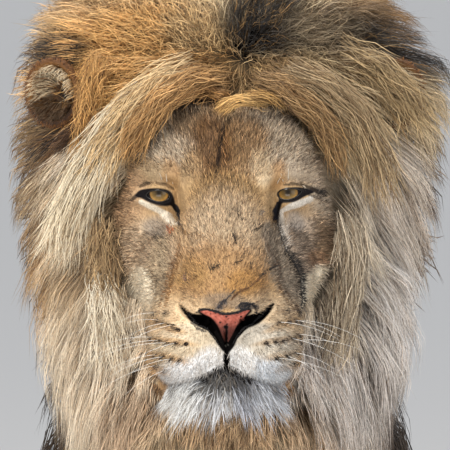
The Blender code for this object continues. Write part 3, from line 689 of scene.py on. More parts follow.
def paintBody(points):
    # the coat away from the face, by where it lies on the animal
    x, y, z = (points - np.array((midline, 0, 0))).T
    colours = np.tile(coatLinear["body"], (len(points), 1))
    colours = mixIn(colours, coatLinear["back"], ease((z - 0.86) / 0.15))
    colours = mixIn(colours, coatLinear["legs"], ease((0.62 - z) / 0.2))
    colours = mixIn(colours, coatLinear["belly"], ease((0.075 - np.abs(x)) / 0.05) * ease((0.72 - z) / 0.1)
                    * ease((0.80 - y) / 0.06) * 0.9)
    colours = mixIn(colours, coatLinear["paws"], ease((0.14 - z) / 0.1))
    patches = np.sin(x * 31 + 2.1) * np.sin(y * 9.3 + 0.6) * np.sin(z * 13.7 + 1.2)
    colours = colours * (1 + 0.10 * patches)[:, None]
    elbow = ease((0.10 - np.hypot(y + 0.31, z - 0.60)) / 0.09)
    hock = ease((0.07 - np.hypot(y - 0.74, z - 0.27)) / 0.06)
    colours = mixIn(colours, coatLinear["joints"], np.maximum(elbow, hock) * 0.5)
    inside = ease((0.045 - np.abs(np.abs(x) - 0.03)) / 0.03) * ease((0.62 - z) / 0.2)
    return mixIn(colours, coatLinear["innerLegs"], inside * 0.5)


def paintMane(points):
    # the mane is darkest behind and below, golden over the brow, pale at its sides
    at = toFace(points) * 1000
    x, u, w = at.T
    colours = paintForms(at[:, :2], np.tile(coatLinear["manePale"], (len(points), 1)), manePaint)
    # paler low at the front of the mane: painted light where the lamps reach it less
    colours = colours * (1 + 0.35 * ease((-90 - u) / 70) * ease((w + 160) / 60))[:, None]
    colours = mixIn(colours, coatLinear["maneTop"], ease((u - 165) / 50) * ease((-w - 70) / 70) * 0.9)
    colours = mixIn(colours, coatLinear["maneRear"], ease((-w - 150) / 130) * 0.8)
    uneven = 40 * np.sin(x / 23) * np.sin(u / 31)
    return mixIn(colours, coatLinear["maneDark"], ease((-w - 230 + uneven) / 190) * 0.9)


def coatColour(points, longAmount, darkTail, onHead):
    # onHead: 1 on the short hair of the head, longAmount: 1 in the mane, darkTail: 1 in the tail's tuft
    colours = mixIn(paintBody(points), paintMane(points), longAmount)
    colours = mixIn(colours, paintFace(toFace(points)[:, :2] * 1000), onHead)
    return mixIn(colours, coatLinear["tailTuft"], darkTail)


headAmount = np.where(onHead, ease((inFace + 7) / 12), 0.0)
skinColour = coatColour(outer, ease(longHair * 1.3), ease(tailHair * 1.5), headAmount)
blackSeams = (  # from the nostrils down the lip to the mouth: half width, points
    (4.0, (-9, -138), (-4, -149), (1.5, -158)),
    (4.0, (11, -138), (7, -149), (1.5, -158)),
    (4.6, (1.5, -154), (1.5, -164), (1, -174)),
    (8.0, (-10, -176), (0, -176), (11, -176)),
    (1.6, (1.5, -130), (1.5, -142), (1.5, -154)),
)
noseFreckles = (  # middle and size
    ((-4.6, -128.4), 1.5), ((1, -133), 3.2), ((10, -128.6), 0.9), ((1.5, -123), 1.3), ((3.2, -125), 1.0),
    ((15.5, -123), 1.3), ((-9, -123), 0.7), ((6, -127), 0.7), ((-14, -120), 0.8), ((2, -130), 1.2),
    ((7.5, -133), 0.7), ((-1.5, -137), 0.9),
)


def paintBareSkin():
    # lids, tear corners, nose leather, nostrils, lips: the bare places, black or pink, with a wet gloss
    at = toFace(inner) * 1000
    flat = at[:, :2]
    front = at[:, 2] > -80
    colours = skinColour.copy()
    bare = np.zeros(len(at))
    for side in (1, -1):
        edge = insideAmount(eyePlace(flat, side), eyeSkinLine[side])
        rim = ease((edge + 0.9) / 1.2) * front * (at[:, 0] * side > 0)
        colours = mixIn(colours, "#161314", rim)
        bare = np.maximum(bare, rim)
    edge = insideAmount(flat, noseLine)
    low = front & (at[:, 2] > 40)
    blackRim = ease((edge + 2.8) / 2.0) * low
    colours = mixIn(colours, "#0d0b0b", blackRim)
    bare = np.maximum(bare, blackRim * 0.5)
    pink = ease(edge / 1.0) * low
    # dark mottling of the leather where this is high; where it is low, paler salmon patches that are painted
    # highlights
    mottleAndSheen = np.sin(flat[:, 0] * 1.1 + 2 * np.sin(flat[:, 1] * 0.5)) * np.sin(flat[:, 1] * 0.9 + flat[:, 0] * 0.4)
    colours = mixIn(colours, "#a85a4a", pink)
    colours = mixIn(colours, "#7f3a2b", pink * ease(mottleAndSheen - 0.1) * 0.7)
    colours = mixIn(colours, "#cc8674", pink * ease(-mottleAndSheen - 0.3) * 0.6)
    # the leather darker towards its bottom: painted shade
    colours = mixIn(colours, "#3f1a12", pink * ease((-124 - flat[:, 1]) / 13) * 0.92)
    colours = mixIn(colours, "#3b2321", ease((1.0 - edge) / 1.0) * pink * 0.5)
    # the nostrils black in their depth: painted shade
    for side in (1, -1):
        black = ease((insideAmount(flat, nostrilLine[side]) + 1.6) / 1.2) * low
        colours = mixIn(colours, "#060505", black)
        bare = bare * (1 - black)
    for width, *line in blackSeams:
        black = ease(strokeReach(flat, line, width, taper=0.5) * 2.4) * low
        colours = mixIn(colours, "#0d0b0b", black)
        bare = np.maximum(bare, black * 0.5)
    lips = ease(formReach(flat, 5.5, (4, -177), (16, -182), (30, -187.5), (48, -190), "both") * 2) * low
    colours = mixIn(colours, "#1f1b1b", lips)
    bare = np.maximum(bare, lips)
    for centre, size in noseFreckles:
        colours = mixIn(colours, "#0f0b0b", ease(ovalReach(flat, centre, (size, size * 0.8)) * 2.5) * low)
    return colours, np.clip(bare, 0, 1)


skinPaint, bareAmount = paintBareSkin()
skinPaint *= (1 - 0.72 * ease(longHair * 1.2) * (1 - headAmount))[:, None]  # the shade at the long hair's roots
addLayer(skin.data, "coatColour", "FLOAT_COLOR", skinPaint)
addLayer(skin.data, "bareAmount", "FLOAT", bareAmount)
addLayer(skin.data, "alongBody", "FLOAT", relax(hasLabel("trunk").astype(float), edges, 3))


def furSkinMaterial():
    # a lion's hide under short fur: soft and matt, streaked by the hairs; bare black or pink skin is smooth and damp
    material, tree = newMaterial("lionHideShortFur")
    colour = addNode(tree, "ShaderNodeAttribute", attribute_name="coatColour")
    bare = addNode(tree, "ShaderNodeAttribute", attribute_name="bareAmount")
    place = addNode(tree, "ShaderNodeTexCoord")
    drops = addNode(tree, "ShaderNodeMapping", {"Vector": place.outputs["Object"]}, Scale_=(900, 900, 160))
    runs = addNode(tree, "ShaderNodeMapping", {"Vector": place.outputs["Object"]}, Scale_=(420, 60, 420))
    along = addNode(tree, "ShaderNodeAttribute", attribute_name="alongBody")  # 1 where the coat lies along the trunk
    lay = addNode(tree, "ShaderNodeMix", {"Factor": along.outputs["Fac"], 4: drops.outputs[0], 5: runs.outputs[0]},
                  data_type="VECTOR")
    hairs = addNode(tree, "ShaderNodeTexNoise", {"Vector": lay.outputs[1]}, Scale_=1.0, Detail_=3.0)
    tone = addNode(tree, "ShaderNodeMapRange", {"Value": hairs.outputs[0]}, From_Min_=0.3, From_Max_=0.7,
                   To_Min_=0.62, To_Max_=1.18)
    still = addNode(tree, "ShaderNodeMix", {"Factor": bare.outputs["Fac"], 2: tone.outputs[0]}, data_type="FLOAT")
    still.inputs[3].default_value = 1.0
    shade = addNode(tree, "ShaderNodeVectorMath", {0: colour.outputs["Color"], 3: still.outputs[0]},
                    operation="SCALE")
    rough = addNode(tree, "ShaderNodeMapRange", {"Value": bare.outputs["Fac"]}, To_Min_=0.85, To_Max_=0.42)
    pebble = addNode(tree, "ShaderNodeTexVoronoi", {"Vector": place.outputs["Object"]}, Scale_=700.0)
    relief = addNode(tree, "ShaderNodeMix", {"Factor": bare.outputs["Fac"], 2: hairs.outputs[0],
                                             3: pebble.outputs["Distance"]}, data_type="FLOAT")
    bump = addNode(tree, "ShaderNodeBump", {"Height": relief.outputs[0]}, Strength_=0.35, Distance_=0.0012)
    body = addNode(tree, "ShaderNodeBsdfPrincipled", {"Base Color": shade.outputs[0], "Roughness": rough.outputs[0],
                                                      "Normal": bump.outputs[0]}, IOR_=1.45, Specular_IOR_Level_=0.22)
    # the nostrils' black, painted shade in their depth, gives back no light at all
    shine = addNode(tree, "ShaderNodeMapRange", {"Value": colour.outputs["Color"]}, From_Min_=0.0028, From_Max_=0.018,
                    To_Min_=0.0, To_Max_=0.22)
    tree.links.new(shine.outputs[0], body.inputs["Specular IOR Level"])
    addNode(tree, "ShaderNodeOutputMaterial", {"Surface": body.outputs[0]})
    return material


skin.data.materials.append(furSkinMaterial())
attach(skin, "root")
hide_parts(*[name for name in sorted(nodes) if not name.startswith(("eye", "ear"))])


maneGuides = (
    # place in mm on the face, direction in degrees (0 to its right, 90 up), length in mm, curl, how proud it stands
    (-130, 159, 188, 85, 0.6, 1.1), (-85, 175, 150, 75, 0.8, 1.1), (-25, 159, 100, 70, 1.0, 1.15),
    (-85, 124, 205, 55, 1.0, 1.25), (-40, 112, 200, 46, 1.0, 1.35), (-95, 85, 228, 75, 0.6, 1.25),
    (-150, 24, 236, 125, 0.15, 1.1), (-190, -13, 232, 120, 0.2, 1.05), (-78, 62, 232, 62, 0.4, 1.3),
    (-170, 144, 150, 60, 0.5, 1.0), (-205, 100, 205, 80, 0.4, 1.0), (-175, 54, 196, 60, 0.4, 0.9),
    (25, 164, 85, 65, 1.0, 1.1), (5, 104, 215, 44, 0.9, 1.35), (45, 104, -50, 50, 0.8, 1.3),
    (62, 118, -30, 75, 0.6, 1.2), (80, 140, -15, 90, 0.5, 1.1), (145, 114, -33, 115, 0.3, 1.1),
    (115, 50, -62, 95, 0.15, 1.15), (-150, -146, 263, 150, 0.1, 1.0), (-205, -146, 250, 130, 0.2, 1.0),
    (-95, -146, 267, 110, 0.1, 1.05), (0, -240, 270, 100, 0.15, 1.0), (150, -146, 275, 150, 0.1, 1.0),
    (205, -106, 290, 125, 0.25, 1.0), (175, -6, -66, 125, 0.15, 1.0), (108, -56, 280, 70, 0.1, 1.1),
    (-108, -50, 258, 75, 0.1, 1.1), (105, 178, 15, 80, 0.7, 1.0), (205, 134, -25, 100, 0.35, 1.05),
    (200, 60, -42, 110, 0.25, 1.0), (-115, -105, 264, 110, 0.1, 1.05), (115, -105, 275, 110, 0.1, 1.05),
    (-60, -225, 264, 90, 0.15, 1.0), (60, -225, 276, 90, 0.15, 1.0), (-165, -80, 257, 140, 0.1, 1.0),
    (-118, 12, 246, 80, 0.12, 1.2), (-205, -80, 244, 130, 0.2, 1.0), (-130, -40, 256, 110, 0.1, 1.1),
)
guideReach = 36.0


def guideValues(flat):
    # the guides' direction, length, curl and lift, each place weighted by how near it lies
    table = np.array(maneGuides, dtype=float)
    away = ((flat[:, None, :] - table[None, :, :2]) ** 2).sum(2)
    weight = np.exp(-away / (2 * guideReach ** 2)) + 1e-6 / (1 + away)
    weight /= weight.sum(1, keepdims=True)
    angle = np.radians(table[:, 2])
    heading = weight @ np.stack([np.cos(angle), np.sin(angle)], 1)
    return unit(heading), weight @ table[:, 3], weight @ table[:, 4], weight @ table[:, 5]


def layCoat():
    # one direction for every point: away from the nose on the face, by the guides in the mane,
    # back along the trunk, down the legs and along the tail
    setPoints(skin.data, outer)
    normals = readVectors(skin.data.vertex_normals, "vector")
    setPoints(skin.data, inner)
    at = toFace(outer) * 1000
    way = np.zeros_like(outer)
    x = outer[:, 0] - midline
    way[:] = (0, 1, -0.25)
    sideways = np.clip(np.abs(x) / 0.16, 0, 1)
    way[:, 2] -= sideways * 0.35
    legs = hasLabel("upper_foreleg", "forearm", "thigh", "shank", "hind_foot")
    way[legs] = (0, 0.35, -1)
    low = outer[:, 2] < 0.14
    way[low & hasLabel("forepaw", "hind_paw", "hind_foot")] = (0, -1, -0.7)
    way[hasLabel("tail")] = (0, 0.25, -1)
    way[hasLabel("neck")] = (0, 1, -0.45)
    way[hasLabel("mane_breast")] = (0, 0.25, -1)
    heading, length, curl, proud = guideValues(at[:, :2])
    front = ease((at[:, 2] + 290) / 150)[:, None] * (longHair[:, None] > 0.02)
    guided = heading[:, :1] * faceBasis[0] + heading[:, 1:] * faceBasis[1] - 0.25 * faceBasis[2]
    way = way * (1 - front) + guided * front
    nose = np.array((0.0, -118.0))
    fromNose = unit(at[:, :2] - nose)
    fromNose[:, 1] -= 0.55 * ease((np.abs(at[:, 0]) - 40) / 60) * ease((at[:, 1] + 150) / 80)
    faceWay = fromNose[:, :1] * faceBasis[0] + fromNose[:, 1:] * faceBasis[1] - 0.35 * faceBasis[2]
    way = np.where((headAmount > 0.5)[:, None], faceWay, way)
    way = relax(way, edges, 8)
    way -= normals * (way * normals).sum(1, keepdims=True)
    return unit(way), normals, length, curl, proud


lie, outerNormals, guideLength, guideCurl, guideProud = layCoat()
print("coat laid")


def unwrapSkin():
    # on this unwrap every tuft's patch has its root's place
    bpy.context.view_layer.objects.active = skin
    skin.select_set(True)
    skin.data.uv_layers.new(name="OFBake")
    bpy.ops.object.mode_set(mode="EDIT")
    bpy.ops.mesh.select_all(action="SELECT")
    bpy.ops.uv.smart_project(angle_limit=math.radians(66), island_margin=0.002)
    bpy.ops.object.mode_set(mode="OBJECT")
    skin.select_set(False)
    skin.data.calc_loop_triangles()
    count = len(skin.data.loop_triangles)
    corners = np.empty(count * 3, dtype=np.int32)
    loops = np.empty(count * 3, dtype=np.int32)
    skin.data.loop_triangles.foreach_get("vertices", corners)
    skin.data.loop_triangles.foreach_get("loops", loops)
    uv = readVectors(skin.data.uv_layers["OFBake"].data, "uv", 2)
    return corners.reshape(-1, 3), uv[loops.reshape(-1, 3)]


skinCorners, cornerUv = unwrapSkin()
print("skin unwrapped")


bakePatch = 0.003  # each tuft's patch across on the unwrap
pieceLimit = 190000  # triangles in one piece


def furMaterial(name, grainScale, detail, tones, relief, depth, **surface):
    # keratin fibre, grown and weathered: a soft broad gleam along each tuft, over a fine uneven tone
    material, tree = newMaterial(name)
    colour = addNode(tree, "ShaderNodeAttribute", attribute_name="coatColour")
    place = addNode(tree, "ShaderNodeTexCoord")
    grain = addNode(tree, "ShaderNodeTexNoise", {"Vector": place.outputs["Object"]}, Scale_=grainScale,
                    Detail_=detail)
    tone = addNode(tree, "ShaderNodeMapRange", {"Value": grain.outputs[0]}, From_Min_=0.3, From_Max_=0.7,
                   To_Min_=tones[0], To_Max_=tones[1])
    shade = addNode(tree, "ShaderNodeVectorMath", {0: colour.outputs["Color"], 3: tone.outputs[0]},
                    operation="SCALE")
    bump = addNode(tree, "ShaderNodeBump", {"Height": grain.outputs[0]}, Strength_=relief, Distance_=depth)
    body = addNode(tree, "ShaderNodeBsdfPrincipled", {"Base Color": shade.outputs[0], "Normal": bump.outputs[0]},
                   **surface)
    addNode(tree, "ShaderNodeOutputMaterial", {"Surface": body.outputs[0]})
    return material


# grains of 2.4 mm are coarser than a hair, so that they show; a thin ear's velvet has grains of 1.7 mm
hairSurface = {"IOR_": 1.55, "Specular_IOR_Level_": 0.3}
furMaterials = {
    "short": furMaterial("lionFurShortKeratin", 420, 2, (0.82, 1.15), 0.2, 0.0004, Roughness_=0.62, **hairSurface),
    "long": furMaterial("lionManeKeratin", 420, 2, (0.82, 1.15), 0.2, 0.0004, Roughness_=0.5, **hairSurface),
    "ear": furMaterial("earVelvetFur", 600, 3, (0.75, 1.15), 0.4, 0.001, Roughness_=0.85),
}


def hairPiece(name, spine, side, up, width, profile, colours, uv):
    # closed three-sided blades; spine: strands x rings+1 x 3, the last one the tip; width: half of the widest ring
    strands, rings = spine.shape[0], spine.shape[1] - 1
    half = width[:, None] * np.array(profile)[None, :rings]
    body = spine[:, :rings]
    ring = np.stack([body - side[:, :rings] * half[..., None], body + side[:, :rings] * half[..., None],
                     body + up[:, :rings] * (half * 0.7)[..., None]], 2)
    perStrand = rings * 3 + 1
    points = np.concatenate([ring.reshape(strands, rings * 3, 3), spine[:, rings:]], 1)
    pattern = [(0, 2, 1)]
    for k in range(rings - 1):
        for a, b in ((0, 1), (1, 2), (2, 0)):
            pattern += [(k * 3 + a, k * 3 + b, k * 3 + 3 + b), (k * 3 + a, k * 3 + 3 + b, k * 3 + 3 + a)]
    last = (rings - 1) * 3
    pattern += [(last + a, last + b, rings * 3) for a, b in ((0, 1), (1, 2), (2, 0))]
    pattern = np.array(pattern)
    faces = (pattern[None] + (np.arange(strands) * perStrand)[:, None, None]).reshape(-1, 3)
    mesh = bpy.data.meshes.new(name)
    mesh.vertices.add(strands * perStrand)
    mesh.vertices.foreach_set("co", points.astype(np.float32).ravel())
    mesh.loops.add(len(faces) * 3)
    mesh.loops.foreach_set("vertex_index", faces.astype(np.int32).ravel())
    mesh.polygons.add(len(faces))
    mesh.polygons.foreach_set("loop_start", np.arange(0, len(faces) * 3, 3, dtype=np.int32))
    mesh.polygons.foreach_set("use_smooth", np.ones(len(faces), dtype=bool))
    mesh.update(calc_edges=True)
    tint = np.concatenate([np.repeat(colours[:, :rings], 3, axis=1), colours[:, rings:]], 1)
    addLayer(mesh, "coatColour", "FLOAT_COLOR", tint.reshape(-1, 3))
    across = np.append(np.tile((0.0, 1.0, 0.5), rings), 0.5)
    along = np.append(np.repeat(np.arange(rings) / rings, 3), 1.0)
    local = (np.stack([across, along], 1) - 0.5) * bakePatch
    spots = np.clip(uv, bakePatch, 1 - bakePatch)[:, None] + local[None]
    layer = mesh.uv_layers.new(name="OFBake")
    layer.data.foreach_set("uv", spots.reshape(-1, 2)[faces.ravel()].astype(np.float32).ravel())
    return linked(name, mesh)


def keepInside(spine):
    # the coat's longest side strands bend in, so that the animal keeps its width
    half, start = cadBox[1][0], 0.96
    over = np.maximum(np.abs(spine[..., 0]) - half * start, 0)
    most = half * (1 - start) + 0.008
    spine[..., 0] -= np.sign(spine[..., 0]) * (over - most * (1 - np.exp(-over / most)))


def hairPieces(name, length, spine, side, up, width, profile, colours, uv):
    keepInside(spine)
    rings = spine.shape[1] - 1
    if side.ndim == 2:  # one direction for the whole strand
        side, up = (np.repeat(vectors[:, None], rings + 1, 1) for vectors in (side, up))
    perStrand = (rings - 1) * 6 + 4
    parts = math.ceil(len(spine) * perStrand / pieceLimit)
    order = np.argsort(spine[:, 0, 0] + spine[:, 0, 2] * 0.001, kind="stable")
    for number, chosen in enumerate(np.array_split(order, parts)):
        piece = hairPiece(f"{name}{number + 1}" if parts > 1 else name, spine[chosen], side[chosen], up[chosen],
                          width[chosen], profile, colours[chosen], uv[chosen])
        piece.data.materials.append(furMaterials[length])
        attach(piece, "root")
    print(name, len(spine), "tufts in", parts, "pieces", len(spine) * perStrand, "triangles")


# every value that a root may need, kept by point
skinValues = {"outer": outer, "inner": inner, "normal": outerNormals, "lie": lie, "depth": depth[:, None],
              "length": guideLength[:, None], "curl": guideCurl[:, None], "proud": guideProud[:, None]}


def scatterRoots(rng, count, weight):
    # roots spread over the skin by area and by a weight on its points
    a, b, c = (outer[skinCorners[:, k]] for k in range(3))
    area = np.linalg.norm(np.cross(b - a, c - a), axis=1)
    chance = area * weight[skinCorners].mean(1)
    chosen = rng.choice(len(skinCorners), size=count, p=chance / chance.sum())
    first, second = rng.random((2, count))
    over = first + second > 1
    first, second = np.where(over, 1 - first, first), np.where(over, 1 - second, second)
    share = np.stack([1 - first - second, first, second], 1)[..., None]
    found = {key: (value[skinCorners[chosen]] * share).sum(1) for key, value in skinValues.items()}
    found["uv"] = (cornerUv[chosen] * share).sum(1)
    found["normal"] = unit(found["normal"])
    found["lie"] = unit(found["lie"])
    found["corner"] = skinCorners[chosen, 0]
    return found


def turned(vectors, axes, angles):
    # turns each vector about its axis
    c, s = np.cos(angles)[:, None], np.sin(angles)[:, None]
    return vectors * c + np.cross(axes, vectors) * s + axes * (vectors * axes).sum(1, keepdims=True) * (1 - c)


def shortTufts(rng, roots, length, rise, spread):
    # short hair: each tuft is one thin closed spike that leaves the skin at a low angle
    count = len(length)
    normal = roots["normal"]
    heading = turned(roots["lie"], normal, rng.normal(0, spread, count))
    rise = rise * rng.uniform(0.5, 1.5, count)
    first = heading * np.cos(rise)[:, None] + normal * np.sin(rise)[:, None]
    start = roots["inner"] - normal * 0.0007
    spine = np.stack([start, start + first * length[:, None]], 1)
    side = turned(unit(np.cross(heading, normal)), heading, rng.normal(0, 0.35, count))
    up = unit(np.cross(side, first))
    up = np.where((up * normal).sum(1, keepdims=True) < 0, -up, up)
    return spine, side, up


def shades(rng, base, spread, rootShade, tipShade, rings):
    # each tuft a little lighter or darker, with painted shade at its root and lighter towards its tip
    tone = np.exp(rng.normal(0, spread, len(base)))[:, None, None]
    ramp = np.interp(np.linspace(0, 1, rings + 1), (0, 0.55, 1), (rootShade, 1.0, tipShade))
    tinted = np.maximum(base[:, None] * tone * ramp[None, :, None], 0.0)
    return tinted / np.maximum(tinted.max(2, keepdims=True) / 0.95, 1.0)  # the palest keep their hue


def flecked(base, kind, dark, pale, lift=0.0):
    # dark and pale hairs among the rest: share, tint, amount; kind is each hair's own number from 0 to 1
    base = mixIn(base, base * dark[1], (kind < dark[0]) * dark[2])
    return mixIn(base, base * pale[1] + lift, (kind > 1 - pale[0]) * pale[2])


def formTree(points):
    # finds places on the skin's form with these points
    return BVHTree.FromPolygons(points.tolist(), skinCorners.tolist())


faceCoat = {"tufts": 61000, "length": 0.0082, "width": 0.00046, "rise": 0.34, "spread": 0.36, "tone": 0.34}
tearLines = (
    (2.6, (-53, -11), (-50.5, -18), (-47.5, -25), (-46.5, -31)),
    (3.0, (54.5, -9), (54, -18), (54, -26)),
)


def nearBare(at):
    # 1 on the bare lids, nose and lips, falling to 0 a few mm away
    flat = at[:, :2]
    found = ease((insideAmount(flat, noseLine) + 3.6) / 2.0)
    for side in (1, -1):
        found = np.maximum(found, ease((insideAmount(eyePlace(flat, side), eyeSkinLine[side]) + 3.0) / 2.0))
        found = np.maximum(found, ease((insideAmount(flat, nostrilLine[side]) + 2.5) / 2.0))
    for width, *line in blackSeams + tearLines:
        found = np.maximum(found, ease(strokeReach(flat, line, width * 0.8, taper=0.5) * 2.5))
    return found


def growFace():
    rng = np.random.default_rng(11)
    at = toFace(inner) * 1000
    bare = nearBare(at)
    short = ease(headAmount * 2.0) * (bare < 0.5)
    weight = short * np.where(at[:, 2] > -110, 1.0, 0.25)
    roots = scatterRoots(rng, faceCoat["tufts"], weight)
    at = toFace(roots["inner"]) * 1000
    fromNose = np.hypot(at[:, 0], at[:, 1] + 118)
    fromEyes = np.minimum(*(np.hypot(*(eyePlace(at[:, :2], side)).T) for side in (1, -1)))
    size = np.clip(0.50 + fromNose / 210, 0.58, 1.3) * np.clip((fromEyes - 6) / 40, 0.42, 1.0)
    length = faceCoat["length"] * size * rng.uniform(0.7, 1.3, len(size))
    width = faceCoat["width"] * np.clip(size, 0.6, 1.0) * rng.uniform(0.7, 1.3, len(size))
    spine, side, up = shortTufts(rng, roots, length, faceCoat["rise"], faceCoat["spread"])
    base = paintFace(at[:, :2])
    kind = rng.random(len(at))
    soft = ease((base.mean(1) - 0.30) / 0.26)[:, None]  # white hair is evener than tan
    darkTint = np.array((0.30, 0.24, 0.19)) + 0.45 * soft
    base = flecked(base, kind, (0.32, darkTint, 0.9), (0.30, (1.72, 1.62, 1.54), 0.85), 0.016)
    x, u = at[:, 0], at[:, 1]
    mottle = np.sin(x * 1.3 + 3 * np.sin(u * 0.35)) * np.sin(u * 1.1 + 2 * np.sin(x * 0.4))
    base = base * (1 + 0.26 * mottle * (1 - soft[:, 0]))[:, None]
    colours = shades(rng, base, faceCoat["tone"], 0.75, 1.2, 1)
    hairPieces("faceCoat", "short", spine, side, up, width, (1.0,), colours, roots["uv"])


bodyCoat = {"tufts": 43000, "length": 0.024, "width": 0.0011, "rise": 0.15, "spread": 0.16, "tone": 0.11}


def growBody():
    rng = np.random.default_rng(23)
    weight = np.clip(1 - headAmount * 2, 0, 1) * np.clip(1 - longHair * 2.0, 0, 1) * np.clip(1 - tailHair * 2, 0, 1)
    weight *= (outer[:, 2] > 0.012)
    feet = hasLabel("forepaw", "hind_paw")
    weight *= np.where(feet, 2.4, 1.0) * (1 + 0.8 * ease((0.62 - outer[:, 2]) / 0.15))
    roots = scatterRoots(rng, bodyCoat["tufts"], weight)
    z = roots["inner"][:, 2]
    size = np.clip(0.30 + z / 0.9, 0.32, 1.0) * np.clip(roots["depth"][:, 0] / 0.007, 0.5, 1.2)
    length = bodyCoat["length"] * size * rng.uniform(0.75, 1.25, len(size))
    width = bodyCoat["width"] * np.clip(size, 0.45, 1.0) * rng.uniform(0.7, 1.3, len(size))
    spine, side, up = shortTufts(rng, roots, length, bodyCoat["rise"], bodyCoat["spread"])
    spine[..., 2] = np.maximum(spine[..., 2], 0.0015)
    base = paintBody(roots["outer"]) * 1.22
    base = flecked(base, rng.random(len(base)), (0.2, (0.82, 0.79, 0.75), 0.8), (0.2, (1.22, 1.24, 1.28), 0.8))
    colours = shades(rng, base, bodyCoat["tone"], 0.95, 1.12, 1)
    hairPieces("bodyCoat", "short", spine, side, up, width, (1.0,), colours, roots["uv"])


lockSteps = 7


def lockPaths(rng, roots, length):
    # each lock's middle line on the coat's outer form, found step by step along the lie
    tree = formTree(outer)
    place, normal, heading = (roots[key].copy() for key in ("outer", "normal", "lie"))
    sunk = roots["depth"][:, 0].copy()
    wander = rng.normal(0, 0.16, len(length))
    paths, normals, depths = [place.copy()], [normal.copy()], [sunk.copy()]
    for _ in range(lockSteps):
        place = place + turned(heading, normal, wander) * (length / lockSteps)[:, None]
        for number in range(len(length)):
            near, _, face, _ = tree.find_nearest(Vector(place[number]))
            corner = skinCorners[face]
            place[number] = near
            normal[number] = outerNormals[corner].mean(0)
            heading[number] = lie[corner].mean(0)
            sunk[number] = depth[corner].mean()
        normal, heading = unit(normal), unit(heading)
        paths.append(place.copy())
        normals.append(normal.copy())
        depths.append(sunk.copy())
    return np.stack(paths, 1), np.stack(normals, 1), np.stack(depths, 1)


def alongPath(paths, share):
    # values at shares 0..1 of each row's path; paths: rows x steps+1 x n, share: rows x rings
    spot = np.clip(share, 0, 1) * (paths.shape[1] - 1)
    low = np.minimum(spot.astype(int), paths.shape[1] - 2)
    part = (spot - low)[..., None]
    rows = np.arange(len(paths))[:, None]
    return paths[rows, low] * (1 - part) + paths[rows, low + 1] * part


